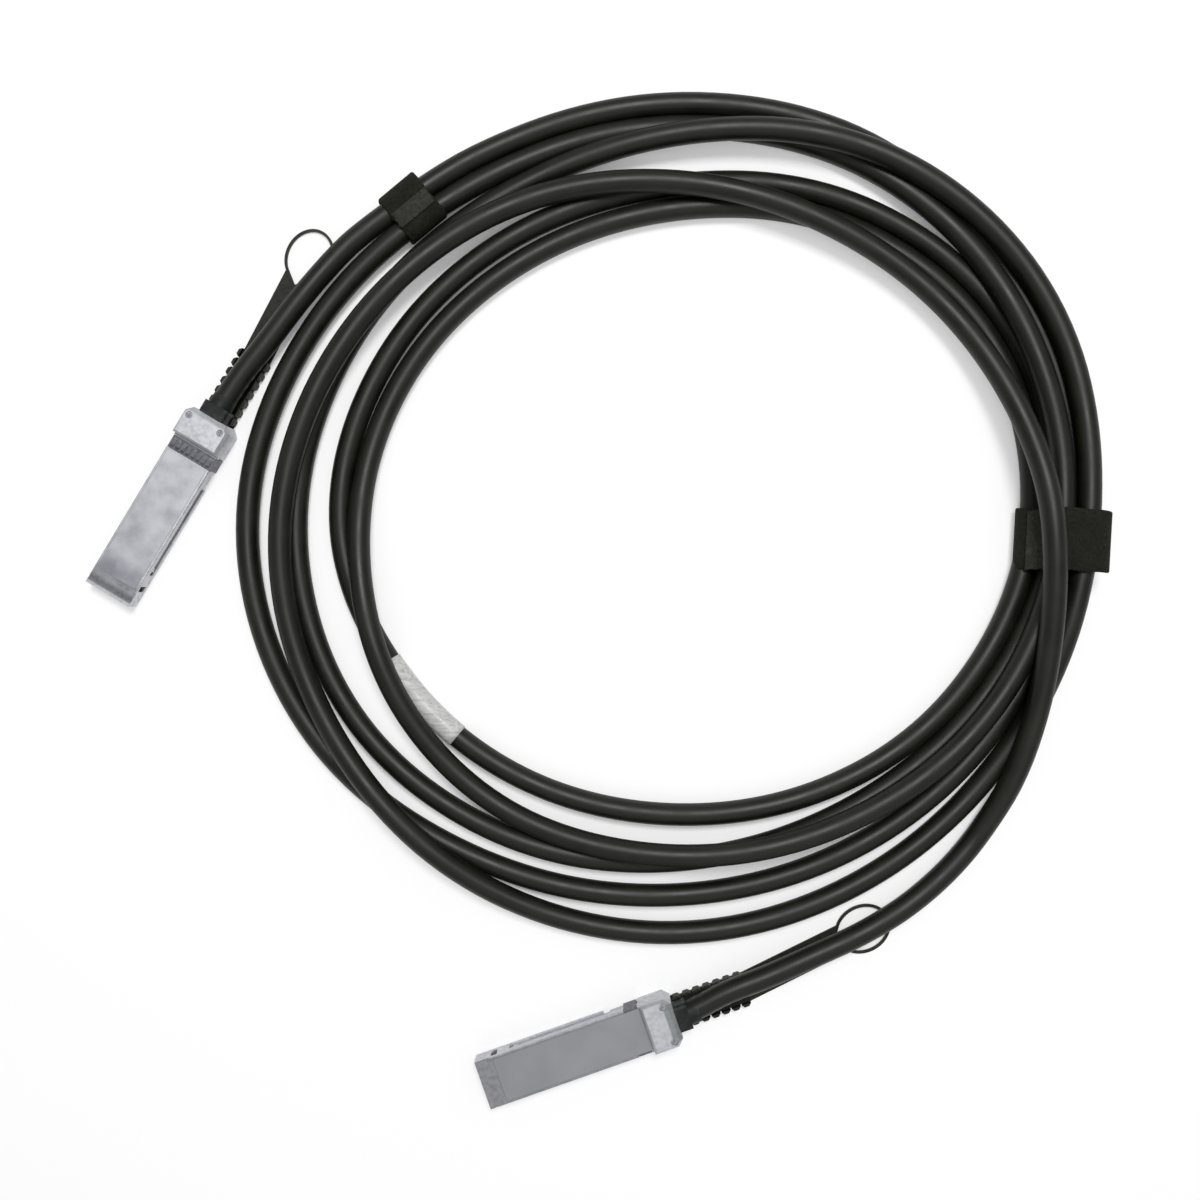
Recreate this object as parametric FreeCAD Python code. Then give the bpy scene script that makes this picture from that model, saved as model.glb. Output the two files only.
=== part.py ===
"""Direct attach copper cable: two pluggable metal plugs on one loosely coiled cable.

Millimetres, +Z up. The cable lies on the plane z = 0, and the origin is under the middle of the
whole bundle. Each plug is modelled in its own frame, with its nose at x = 0, its length along +X
and its underside on z = 0, and is then turned and moved to where it lies.
"""
import FreeCAD, Part
import math
import os
from FreeCAD import Vector

# ---------------------------------------------------------------- cable and coil
CABLE_D = 8.5                  # jacket diameter
COIL_CENTRE = (26.9, 30.4)     # middle of the coil from the origin, x and y
STATION_STEP = 30              # degrees between the stations of TURN_RADII
TURN_RADII = (                 # middle line of each turn from the coil's middle, at 0, 30, 60 ... 330
    (142.5, 131.5, 125.5, 126.5, 131.5, 137.0, 144.5, 148.0, 153.0, 154.2, 152.3, 151.5),
    (158.0, 160.5, 157.0, 143.0, 135.5, 135.0, 139.0, 138.5, 132.0, 126.0, 126.0, 133.0),
    (142.0, 144.5, 136.0, 125.0, 121.0, 121.5, 122.0, 115.0, 110.5, 109.5, 115.0, 125.5),
    (133.8, 136.5, 127.0, 115.0, 110.5, 111.5, 116.0, 120.5, 124.5, 125.0, 129.0, 139.0),
    (146.5, 150.5, 151.0, 146.0, 143.5, 152.2, 157.8, 154.5, 145.5, 139.0, 139.0, 143.5),
    (150.3, 155.5, 156.0, 153.5, 153.5, 161.5),
)
LEAD_IN_RADII = (167.0, 154.5)  # the two stations before the first turn, where tail b comes in
COIL_START = -33                # degrees, where tail b joins the coil
WHOLE_TURNS = 5
LAST_TURN_END = 137             # degrees, where the last turn leaves the coil as tail a
COIL_LAYERS = 2                 # cables that lie on one another in the thickest stretch
OUTLINE_ARCS = 24               # arcs that make each round outline of the coil
GAP_ARC_SPAN = 18               # degrees that one arc of an open crescent's edge spans, about
FAN_GAPS = (                    # open crescents: how many turns pass inside it, first and last degree
    (3, 44, 102),
    (2, 120, 232),
    (4, 136, 194),
    (3, 212, 297),
    (4, 250, 312),
    (1, 228, 310),
)
FAN_GAP_MARGIN = 0.4            # the crescents stop this far from the cables beside them
FAN_GAP_LEAST = 0.3             # and are this wide or more

# Middle line of the two free tails: straight out of each plug, then point by point to the coil
TAIL_LEAD = 16.5                # straight length out of the head, through the boot
TAIL_A_ROUTE = (
    (-123.2, 95.4, 6.6), (-110.9, 112.2, 6.2), (-97.5, 127.8, 5.9), (-88.3, 136.6, 5.7),
    (-82.7, 141.9, 5.6),
)
TAIL_B_ROUTE = (
    (62.0, -139.4, 6.6), (79.6, -131.5, 6.4), (95.8, -124.3, 6.2), (110.9, -115.6, 6.0),
    (123.0, -106.6, 5.0), (133.5, -96.6, 4.4), (142.5, -85.2, 4.5), (150.0, -72.8, 5.2),
    (156.1, -59.8, 6.6), (160.1, -48.1, 8.5),
)

# Tail b climbs over the bundle and the right-hand strap: heights of its arch along Y
ARCH_X = 168.9
ARCH_WIDTH = 8.5
ARCH_PROFILE = ((-30.0, 13.0), (-14.0, 24.0), (3.0, 28.1), (30.0, 28.1), (43.0, 23.5), (58.0, 13.0))

# ---------------------------------------------------------------- straps and wrap label
STRAP_THICKNESS = 1.3
STRAPS = {    # middle degree, inner radius, room inside across the cables and up, in cables, and width
    "strap_upper": {"degree": 129.8, "inner": 139.4, "across": 2.3, "layers": 1, "width": 16.5},
    "strap_side": {"degree": -3.2, "inner": 127.6, "across": 3.8, "layers": 2, "width": 22.5},
}
STRAP_CORNER = 3.0              # outside corner radius of a strap's loop
STRAP_OVERLAP = 9.0             # reach of the fastened end across the top
STRAP_OVERLAP_THICKNESS = 0.9
LABEL_DEGREE = 216.2
LABEL_TURN = 3                  # the turn that the label is wrapped round
LABEL_LENGTH = 34.5
LABEL_OUTER_R = 4.7
LABEL_WALL = 0.3

# ---------------------------------------------------------------- plug shells
PLUG_LENGTH = 76.0
PLUG_WIDTH = 18.35
BODY_HEIGHT = 8.5
HEAD_LENGTH = 11.5
HEAD_HEIGHT = 12.0
SPLIT_HEIGHT = 4.4              # the plane where the two shells meet
HEAD_BEVEL = 2.4                # back corners of the head, in plan
HEAD_TOP_ROUND = 0.9
HEAD_BACK_SLOPE = (1.7, 0.9)    # length and drop of the sloped lip at the head's back
BODY_EDGE_ROUND = 0.5
FLOOR_THICKNESS = 2.0
BODY_ROOF = 1.4
HEAD_ROOF = 1.3
CAVITY_SIDE_WALL = 2.275
HEAD_BACK_WALL = 7.0            # solid blocks beside the ferrule
FERRULE_ROOM_BACK_WALL = 2.0
NOSE_LENGTH = 13.0
NOSE_WALL = 0.75
NOSE_STEP_LENGTH = 5.6          # the nose is a little lower, for the host's guide
NOSE_STEP_DROP = 0.5
NOSE_NOTCH = (6.3, 8.6, 1.1)    # first x, last x and depth of the side notches
NOSE_GROOVE = (2.0, 0.8, 0.3)   # first x, width and depth of the groove across the nose
SHELL_GAP = 0.02                # the shells meet along a hairline joint
FIT_GAP = 0.15                  # general room between a piece and its pocket

# Latch channel, and the pocket under the plug for the slider
CHANNEL_START = 13.5
CHANNEL_DEPTH = 1.22
CHANNEL_LOW = 2.3
CHANNEL_HIGH = 5.7
WING_POCKET_SETBACK = 14.0      # from the head's front
UNDER_POCKET_DEPTH = 1.3
UNDER_POCKET_HALF_WIDTH = 6.75

# Latch slider
SHEET = 0.5
LATCH_TRAVEL = 3.0
SLIDE_GAP = 0.1                 # between an arm and the channel's bottom
PLATE_LOW = 0.8
PLATE_SETBACK = 11.5            # its front edge, from the head's front
PLATE_END_SETBACK = 5.0         # its back edge, from the head's back
PLATE_HALF_WIDTH = 6.2
WING_LENGTH = 6.0
ARM_START_GAP = 0.9             # the arm's tip starts this far behind the channel's end
ARM_TONGUE_LENGTH = 3.0
EAR_THICKNESS = 0.6
EAR_WIDTH = 1.5
EAR_INSET = 5.6                 # ear's middle from the plug's middle
EAR_SETBACK = 4.5               # from the head's front
EAR_HEIGHT = 3.9

# Return springs
SPRING_R = 0.95                 # to the wire's middle
SPRING_WIRE_D = 0.4
SPRING_COILS = 5
SPRING_STEPS = 10               # straight runs in each coil
SPRING_WIRE_SIDES = 6
MITRED = 1                      # the sweep's corner style

# Pull tab
TAB_LOW = 0.3
TAB_BACK_GAP = 0.3
TONGUE_THICKNESS = 0.45
TONGUE_SETBACK = 11.0           # from the head's back
TONGUE_HALF_WIDTH = 6.1
TAB_BASE_LENGTH = 28.0
TAB_BASE_WIDTH = 11.0
TAB_BASE_THICKNESS = 1.4
TAB_TEETH = 7
TAB_TOOTH_REACH = 0.8
TAB_TOOTH_HEIGHT = 3.7          # the ribs stand up beside the cable
TAB_TOOTH_ROOT = 0.2            # how far a rib reaches in over the base
TAB_STRAP_WIDTH = 10.8
TAB_STRAP_THICKNESS = 1.0
LOOP_LENGTH = 21.4
LOOP_WIDTH = 17.8
LOOP_RIM = 1.0
LOOP_POINT = 2.2                # how far the drop-shaped opening runs on into the strap
RIVET_R = 0.8
RIVET_SETBACK = 8.0             # from the head's back
RIVET_SPREAD = 3.4

# Paddle card and what is on it
CARD_THICKNESS = 1.0
CARD_FRONT = 1.2
CARD_NOSE_HALF_WIDTH = 8.2
CARD_NARROW_HALF_WIDTH = 6.6
CARD_NOSE_LENGTH = 11.2
CARD_END = 42.0
CARD_LEDGE = (15.0, 40.0)
CARD_LEDGE_WIDTH = 1.1
CARD_POSTS = (18.0, 36.0)
CARD_POST_LENGTH = 2.5
PAD_COUNT = 19
PAD_PITCH = 0.8
PAD_WIDTH = 0.5
PAD_LENGTH = 2.4
PAD_THICKNESS = 0.06
PAD_INSET = 0.5
CHIPS = ((17.0, 0.0, 4.0, 4.0, 0.9), (24.0, 3.2, 3.0, 2.4, 0.8), (24.0, -3.4, 1.6, 0.8, 0.5),
         (28.0, -3.4, 1.6, 0.8, 0.5), (28.0, 0.4, 1.6, 0.8, 0.5))   # x, y, length, width, height

# Twinax fan, ferrule and boot
CABLE_EXIT_HEIGHT = 6.8
PAIR_R = 0.7
PAIR_LANES = (-4.8, -1.6, 1.6, 4.8)
PAIR_END = 37.5
PAIR_BEND_START = 44.0
PAIR_BEND_SETBACK = 0.5         # from the head's front
BUNDLE_SPREAD = 0.42            # how far the lanes close up where they enter the core
BUNDLE_LEVELS = (6.3, 4.8)      # heights of the upper and lower pairs where they enter it
CORE_SETBACK = 9.0              # from the head's back
CORE_R = 3.4                    # the cable's shielded core, bared inside the head
FERRULE_LENGTH = 6.4
FERRULE_R = 4.2
FERRULE_FLANGE_R = 4.35
FERRULE_FLANGE = (4.8, 1.2)     # setback from the head's back, and length
FERRULE_ROOM_R = 4.5
BOOT_LENGTH = 4.8
BOOT_WIDTH = 10.2
BOOT_HEIGHT = 9.2
BOOT_TAPER_LENGTH = 4.0
BOOT_TAPER_R = 4.4
BOOT_ROUND = 1.6

# Shielding gasket
GASKET_SETBACK = 6.1            # from the head's front
GASKET_WIDTH = 5.0
GASKET_SHEET = 0.25
GASKET_RECESS = 0.5
GASKET_FINGERS = 8
GASKET_FINGER_RISE = 0.3
GASKET_FINGER_SHARE = 0.62      # width of a finger as a share of its pitch

# Cover screws and label plate
SCREW_SETBACK = 3.4             # from the head's back
SCREW_SPREAD = 6.6
SCREW_HEAD_R = 1.2
SCREW_HEAD_HEIGHT = 0.7
SCREW_SHANK_R = 0.7
SCREW_SLOT = (0.35, 0.3)        # width and depth of the cross
PLATE_THICKNESS = 0.14
PLATE_HALF = 8.1
PLATE_FRONT = 6.9

PLUGS = {   # nose and heading of each plug, the tab's swing aside and its reach from the head's back to
            # the middle of its finger loop, and how far the face plate stops before the head
    "a": {"nose": (-181.9, 2.6), "heading": 59.0, "tab_swing": 3.5, "tab_reach": 70.3,
          "plate_setback": 6.9, "fingers_on_top": True},
    "b": {"nose": (-43.1, -179.2), "heading": 19.4, "tab_swing": 6.9, "tab_reach": 77.0,
          "plate_setback": 0.3, "fingers_on_top": False},
}

# ---------------------------------------------------------------- values that follow from those
CABLE_R = CABLE_D / 2
COIL_END = WHOLE_TURNS * 360 + LAST_TURN_END
HALF_WIDTH = PLUG_WIDTH / 2
HEAD_START = PLUG_LENGTH - HEAD_LENGTH
WING_POCKET_START = HEAD_START - WING_POCKET_SETBACK
PLATE_START = HEAD_START - PLATE_SETBACK
PLATE_END = PLUG_LENGTH - PLATE_END_SETBACK
EAR_START = HEAD_START - EAR_SETBACK
TONGUE_START = PLUG_LENGTH - TONGUE_SETBACK
RIVET_X = PLUG_LENGTH - RIVET_SETBACK
PAIR_BEND_END = HEAD_START - PAIR_BEND_SETBACK
CORE_START = PLUG_LENGTH - CORE_SETBACK
FERRULE_START = PLUG_LENGTH - FERRULE_LENGTH
GASKET_START = HEAD_START - GASKET_SETBACK
SCREW_X = PLUG_LENGTH - SCREW_SETBACK
CAVITY_HALF = HALF_WIDTH - CAVITY_SIDE_WALL
NOSE_HALF = HALF_WIDTH - NOSE_WALL
CHANNEL_BOTTOM = HALF_WIDTH - CHANNEL_DEPTH
ARM_INNER = CHANNEL_BOTTOM + SLIDE_GAP
ARM_OUTER = ARM_INNER + SHEET
ARM_START = CHANNEL_START + ARM_START_GAP
CARD_LOW = SPLIT_HEIGHT - CARD_THICKNESS / 2
CARD_TOP = CARD_LOW + CARD_THICKNESS
GASKET_END = GASKET_START + GASKET_WIDTH
WING_POCKET_END = HEAD_START - 0.5
COIL_HEIGHT = STRAP_THICKNESS + COIL_LAYERS * CABLE_D
TAB_BACK = PLUG_LENGTH + TAB_BACK_GAP
UP = Vector(0, 0, 1)
ALONG = Vector(1, 0, 0)


# ---------------------------------------------------------------- small helpers
def block(x0, x1, y0, y1, z0, z1):
    """A box between two corners."""
    return Part.makeBox(x1 - x0, y1 - y0, z1 - z0, Vector(x0, y0, z0))


def slab(x0, x1, half, z0, z1):
    """A box centred on the plug's middle plane."""
    return block(x0, x1, -half, half, z0, z1)


def both_sides(shape):
    """A shape and its mirror image across the plug's middle plane."""
    return [shape, shape.mirror(Vector(0, 0, 0), Vector(0, 1, 0))]


def rod(radius, start, length, direction):
    return Part.makeCylinder(radius, length, start, direction)


def prism(outline, vector):
    """Extrude a closed outline of points."""
    points = [Vector(*p) for p in outline]
    return Part.Face(Part.makePolygon(points + points[:1])).extrude(vector)


def long_edges(shape, direction):
    """Straight edges of a shape that run along a direction."""
    found = []
    for edge in shape.Edges:
        if len(edge.Vertexes) < 2:
            continue
        run = edge.Vertexes[1].Point - edge.Vertexes[0].Point
        if run.Length > 1e-6 and abs(run.normalize().dot(direction)) > 0.999:
            found.append(edge)
    return found


def polar(radius, degree, height=0.0):
    """A point at a radius and an angle round the coil's middle."""
    angle = math.radians(degree)
    x, y = COIL_CENTRE
    return Vector(x + radius * math.cos(angle), y + radius * math.sin(angle), height)


# ---------------------------------------------------------------- coil
def station_radius(station):
    """Radius at a whole station, counted from the first turn's 0 degrees."""
    if station < 0:
        return LEAD_IN_RADII[max(station, -2) + 2]
    stations = [radius for turn in TURN_RADII for radius in turn]
    return stations[min(station, len(stations) - 1)]


def turn_radius(degree):
    """Radius of the winding at any running angle: a smooth curve through the stations."""
    place = degree / STATION_STEP
    first = math.floor(place)
    t = place - first
    before, here, after, beyond = (station_radius(first + k) for k in (-1, 0, 1, 2))
    slope_here, slope_after = (after - before) / 2, (beyond - here) / 2
    return ((2 * t**3 - 3 * t**2 + 1) * here + (t**3 - 2 * t**2 + t) * slope_here
            + (3 * t**2 - 2 * t**3) * after + (t**3 - t**2) * slope_after)


def turns_at(degree):
    """Radii of all the turns that pass one direction from the coil's middle."""
    runs = range(-1, len(TURN_RADII))
    return [turn_radius(degree + 360 * k) for k in runs if COIL_START <= degree + 360 * k <= COIL_END]


def arc_chain(points):
    """Arcs, each through three points in turn, that share their ends."""
    return [Part.Arc(*points[k:k + 3]).toShape() for k in range(0, len(points) - 2, 2)]


def coil_outline(pick, offset):
    """Face inside the coil's outermost or innermost turn, moved out by an offset."""
    count = 2 * OUTLINE_ARCS
    degrees = [360 * k / count for k in range(count)]
    points = [polar(pick(turns_at(degree)) + offset, degree) for degree in degrees]
    return Part.Face(Part.Wire(arc_chain(points + points[:1])))


def fan_gap(turns_inside, first, last):
    """Open crescent where neighbouring turns fan out, with a number of turns passing inside it."""
    margin = CABLE_R + FAN_GAP_MARGIN
    count = 2 * max(1, round((last - first) / GAP_ARC_SPAN))
    inside, outside = [], []
    for k in range(count + 1):
        degree = first + (last - first) * k / count
        radii = sorted(turns_at(degree))
        low, high = radii[int(turns_inside) - 1] + margin, radii[int(turns_inside)] - margin
        if high - low > FAN_GAP_LEAST:
            inside.append(polar(low, degree))
            outside.append(polar(high, degree))
    if len(inside) % 2 == 0:
        inside, outside = inside[:-1], outside[:-1]
    if len(inside) < 3:
        return None
    ends = [Part.makeLine(inside[-1], outside[-1]), Part.makeLine(outside[0], inside[0])]
    rim = arc_chain(inside) + ends[:1] + arc_chain(outside[::-1]) + ends[1:]
    return Part.Face(Part.Wire(rim)).extrude(UP * COIL_HEIGHT)


def cable_coil(bands, sleeve):
    """Outer form of all the turns lying on one another, with the straps' and label's places cut out."""
    ring = coil_outline(max, CABLE_R).cut(coil_outline(min, -CABLE_R)).extrude(UP * COIL_HEIGHT)
    gaps = [fan_gap(*gap) for gap in FAN_GAPS]
    ring = ring.cut([gap for gap in gaps if gap])
    arch = prism([(ARCH_X - ARCH_WIDTH / 2, y, z) for y, z in ARCH_PROFILE], ALONG * ARCH_WIDTH)
    ring = ring.fuse(arch)
    for band in bands:
        ring = ring.cut(band)
    return largest(ring.cut(sleeve))


def largest(shape):
    """The biggest solid of a shape, without any thin leftover."""
    return max(shape.Solids, key=lambda solid: solid.Volume)


# ---------------------------------------------------------------- straps and label
def strap_loop(degree, inner, outer, width, low, high, corner):
    """A rounded block across the coil, radial from inner to outer."""
    body = block(inner, outer, -width / 2, width / 2, low, high)
    body = body.makeFillet(corner, long_edges(body, Vector(0, 1, 0)))
    body.rotate(Vector(0, 0, 0), UP, degree)
    body.translate(Vector(COIL_CENTRE[0], COIL_CENTRE[1], 0))
    return body


def strap_reach(inner, across, layers):
    """Outer radius and height of a strap that holds so many cables."""
    return inner + 2 * STRAP_THICKNESS + across * CABLE_D, 2 * STRAP_THICKNESS + layers * CABLE_D


def strap(degree, inner, across, layers, width):
    """One strap: a closed band with its fastened end lying over the inner side and part of the top."""
    outer, high = strap_reach(inner, across, layers)
    t = STRAP_THICKNESS
    band = strap_loop(degree, inner, outer, width, 0, high, STRAP_CORNER)
    band = band.cut(strap_loop(degree, inner + t, outer - t, width + 1, t, high - t, STRAP_CORNER - t))
    over = STRAP_OVERLAP_THICKNESS
    skin = strap_loop(degree, inner - over, outer, width, -over, high + over, STRAP_CORNER + over)
    skin = skin.cut(strap_loop(degree, inner, outer, width + 1, 0, high, STRAP_CORNER))
    reach = block(inner - over, inner + STRAP_OVERLAP, -width / 2, width / 2, high / 2, high + over)
    reach.rotate(Vector(0, 0, 0), UP, degree)
    reach.translate(Vector(COIL_CENTRE[0], COIL_CENTRE[1], 0))
    return band.fuse(skin.common(reach)).removeSplitter()


def strap_envelope(degree, inner, across, layers, width):
    """All that a strap and the room round it takes out of the coil's own form."""
    outer, high = strap_reach(inner, across, layers)
    t = STRAP_THICKNESS
    clear = STRAP_OVERLAP_THICKNESS + FIT_GAP
    top = max(high, COIL_HEIGHT) + FIT_GAP
    outside = block(inner - clear, outer + 3 * CABLE_D, -width / 2, width / 2, -1, top)
    outside.rotate(Vector(0, 0, 0), UP, degree)
    outside.translate(Vector(COIL_CENTRE[0], COIL_CENTRE[1], 0))
    return outside.cut(strap_loop(degree, inner + t, outer - t, width + 1, t, high - t, STRAP_CORNER - t))


def label_axis():
    """Start and direction of the wrap label's straight sleeve."""
    angle = math.radians(LABEL_DEGREE)
    direction = Vector(-math.sin(angle), math.cos(angle), 0)
    radius = turn_radius((LABEL_TURN - 1) * 360 + LABEL_DEGREE)
    sag = LABEL_LENGTH**2 / (8 * radius)      # the stiff sleeve lies along the turn's chord
    middle = polar(radius - sag, LABEL_DEGREE, LABEL_OUTER_R)
    return middle - direction * (LABEL_LENGTH / 2), direction


def cable_label():
    """Stiff wrap label: a thin straight sleeve round the cable."""
    start, direction = label_axis()
    sleeve = rod(LABEL_OUTER_R, start, LABEL_LENGTH, direction)
    return sleeve.cut(rod(LABEL_OUTER_R - LABEL_WALL, start, LABEL_LENGTH, direction))


# ---------------------------------------------------------------- free tails
def tail_points(settings, route):
    """A tail's points: the plug's exit, the end of its straight lead, and then the route."""
    nose = Vector(settings["nose"][0], settings["nose"][1], CABLE_EXIT_HEIGHT)
    angle = math.radians(settings["heading"])
    heading = Vector(math.cos(angle), math.sin(angle), 0)
    leads = [nose + heading * PLUG_LENGTH, nose + heading * (PLUG_LENGTH + TAIL_LEAD)]
    return leads + [Vector(*point) for point in route]


def rounded_route(points, name):
    """Straight runs joined by tangent arcs, each as large as its two runs allow."""
    edges, here, radii = [], points[0], []
    for before, corner, after in zip(points, points[1:], points[2:]):
        inward, outward = (corner - before), (after - corner)
        shorter = min(inward.Length, outward.Length)
        inward.normalize()
        outward.normalize()
        turn = inward.getAngle(outward)
        reach = 0.45 * shorter
        radius = reach / math.tan(turn / 2)
        radii.append(round(radius, 1))
        start, end = corner - inward * reach, corner + outward * reach
        to_centre = (outward - inward).normalize()
        middle = corner + to_centre * (radius / math.cos(turn / 2) - radius)
        edges.append(Part.LineSegment(here, start).toShape())
        edges.append(Part.Arc(start, middle, end).toShape())
        here = end
    edges.append(Part.LineSegment(here, points[-1]).toShape())
    print(name, "radii", radii, "length", round(sum(edge.Length for edge in edges), 1))
    return Part.Wire(edges)


def tail(points, name):
    """Plain round tube along a route."""
    path = rounded_route(points, name)
    ring = Part.Wire(Part.makeCircle(CABLE_R, points[0], points[1] - points[0]))
    tube = path.makePipeShell([ring], True, False)
    expected = math.pi * CABLE_R**2 * path.Length
    print(name, "volume over section times length", round(tube.Volume / expected, 4))
    return tube


# ---------------------------------------------------------------- plug shells
def shell_envelope(plate_end):
    """Outer form of both shells: slim body, taller head with bevelled back corners."""
    body = slab(0, HEAD_START, HALF_WIDTH, 0, BODY_HEIGHT)
    body = body.makeFillet(BODY_EDGE_ROUND, long_edges(body, ALONG))
    corners = ((HEAD_START, -HALF_WIDTH), (PLUG_LENGTH - HEAD_BEVEL, -HALF_WIDTH),
               (PLUG_LENGTH, HEAD_BEVEL - HALF_WIDTH), (PLUG_LENGTH, HALF_WIDTH - HEAD_BEVEL),
               (PLUG_LENGTH - HEAD_BEVEL, HALF_WIDTH), (HEAD_START, HALF_WIDTH))
    head = prism([(x, y, 0) for x, y in corners], UP * HEAD_HEIGHT)
    rim = [edge for edge in head.Edges if edge.BoundBox.ZMin > HEAD_HEIGHT - 0.01]
    head = head.makeChamfer(HEAD_TOP_ROUND, rim)
    slope_length, slope_drop = HEAD_BACK_SLOPE
    wedge = prism([(PLUG_LENGTH - slope_length, -PLUG_WIDTH, HEAD_HEIGHT),
                   (PLUG_LENGTH + slope_length, -PLUG_WIDTH, HEAD_HEIGHT - 2 * slope_drop),
                   (PLUG_LENGTH + slope_length, -PLUG_WIDTH, HEAD_HEIGHT)], Vector(0, 2 * PLUG_WIDTH, 0))
    head = head.cut(wedge)
    envelope = body.fuse(head)
    groove_x, groove_width, groove_depth = NOSE_GROOVE
    low = BODY_HEIGHT - NOSE_STEP_DROP
    wide = PLUG_WIDTH
    notch_start, notch_end, notch_depth = NOSE_NOTCH
    notch = block(notch_start, notch_end, HALF_WIDTH - notch_depth, wide,
                  CHANNEL_LOW, BODY_HEIGHT - BODY_ROOF)
    cuts = [
        slab(-1, NOSE_STEP_LENGTH, wide, low, BODY_HEIGHT + 1),
        slab(groove_x, groove_x + groove_width, wide, low - groove_depth, BODY_HEIGHT),
        slab(PLATE_FRONT - FIT_GAP, plate_end + FIT_GAP, PLATE_HALF + FIT_GAP,
             BODY_HEIGHT - PLATE_THICKNESS, BODY_HEIGHT + 0.2),
    ]
    return envelope.cut(cuts + both_sides(notch)).removeSplitter()


def inner_room():
    """Hollow inside the two shells, from the nose's mouth to the cable's exit."""
    nose = slab(-1, NOSE_LENGTH, NOSE_HALF, FLOOR_THICKNESS - NOSE_WALL, BODY_HEIGHT - BODY_ROOF)
    body = slab(NOSE_LENGTH, HEAD_START, CAVITY_HALF, FLOOR_THICKNESS, BODY_HEIGHT - BODY_ROOF)
    head = slab(HEAD_START, PLUG_LENGTH - HEAD_BACK_WALL, CAVITY_HALF,
                FLOOR_THICKNESS, HEAD_HEIGHT - HEAD_ROOF)
    exit_point = Vector(PLUG_LENGTH - HEAD_BACK_WALL, 0, CABLE_EXIT_HEIGHT)
    ferrule_room = rod(FERRULE_ROOM_R, exit_point, HEAD_BACK_WALL - FERRULE_ROOM_BACK_WALL, ALONG)
    hole = rod(FERRULE_R, exit_point, HEAD_BACK_WALL + 1, ALONG)
    return nose.fuse([body, head, ferrule_room, hole])


def latch_room():
    """What both shells leave open for the slider, its wings, ears and arms, and the tab's tongue."""
    under = slab(WING_POCKET_START, PLUG_LENGTH + 1, UNDER_POCKET_HALF_WIDTH, -1, UNDER_POCKET_DEPTH)
    wings = slab(WING_POCKET_START, WING_POCKET_END, PLUG_WIDTH, -1, UNDER_POCKET_DEPTH)
    side = block(WING_POCKET_START, WING_POCKET_END, CHANNEL_BOTTOM, PLUG_WIDTH, -1, CHANNEL_HIGH)
    channel = block(CHANNEL_START, WING_POCKET_END, CHANNEL_BOTTOM, PLUG_WIDTH, CHANNEL_LOW, CHANNEL_HIGH)
    ear_slot = block(EAR_START - FIT_GAP, EAR_START + EAR_THICKNESS + LATCH_TRAVEL + FIT_GAP,
                     EAR_INSET - EAR_WIDTH / 2 - FIT_GAP, EAR_INSET + EAR_WIDTH / 2 + FIT_GAP,
                     0, FLOOR_THICKNESS + 0.1)
    return under.fuse([wings] + both_sides(side) + both_sides(channel) + both_sides(ear_slot))


def gasket_room():
    """Shallow step all round the body where the gasket sits."""
    outer = slab(GASKET_START - FIT_GAP, GASKET_END + FIT_GAP, PLUG_WIDTH, -1, BODY_HEIGHT + 1)
    core = slab(GASKET_START - 1, GASKET_END + 1, HALF_WIDTH - GASKET_RECESS, GASKET_RECESS,
                BODY_HEIGHT - GASKET_RECESS)
    return outer.cut(core)


def screw_room():
    """Counterbored holes for the cover screws."""
    top = HEAD_HEIGHT - HEAD_TOP_ROUND / 3
    holes = []
    for y in (-SCREW_SPREAD, SCREW_SPREAD):
        holes.append(rod(SCREW_HEAD_R + 0.1, Vector(SCREW_X, y, top - SCREW_HEAD_HEIGHT), 3, UP))
        holes.append(rod(SCREW_SHANK_R, Vector(SCREW_X, y, UNDER_POCKET_DEPTH + 0.8), HEAD_HEIGHT, UP))
    return holes[0].fuse(holes[1:])


def housing_shells(plate_end):
    """Lower and upper die-cast shells, cut apart at the split plane."""
    whole = shell_envelope(plate_end).cut([inner_room(), latch_room(), gasket_room(), screw_room()])
    far = 2 * PLUG_LENGTH
    lower = whole.common(slab(-far, far, far, -1, SPLIT_HEIGHT - SHELL_GAP / 2))
    upper = whole.common(slab(-far, far, far, SPLIT_HEIGHT + SHELL_GAP / 2, far))
    inner = CAVITY_HALF - CARD_LEDGE_WIDTH
    ledge = block(CARD_LEDGE[0], CARD_LEDGE[1], inner, CAVITY_HALF, FLOOR_THICKNESS, CARD_LOW)
    lower = lower.fuse(both_sides(ledge)).removeSplitter()
    posts = []
    for x in CARD_POSTS:
        post = block(x, x + CARD_POST_LENGTH, inner, CAVITY_HALF, CARD_TOP, BODY_HEIGHT - BODY_ROOF)
        posts += both_sides(post)
    upper = upper.fuse(posts).removeSplitter()
    return largest(lower), largest(upper)


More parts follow.
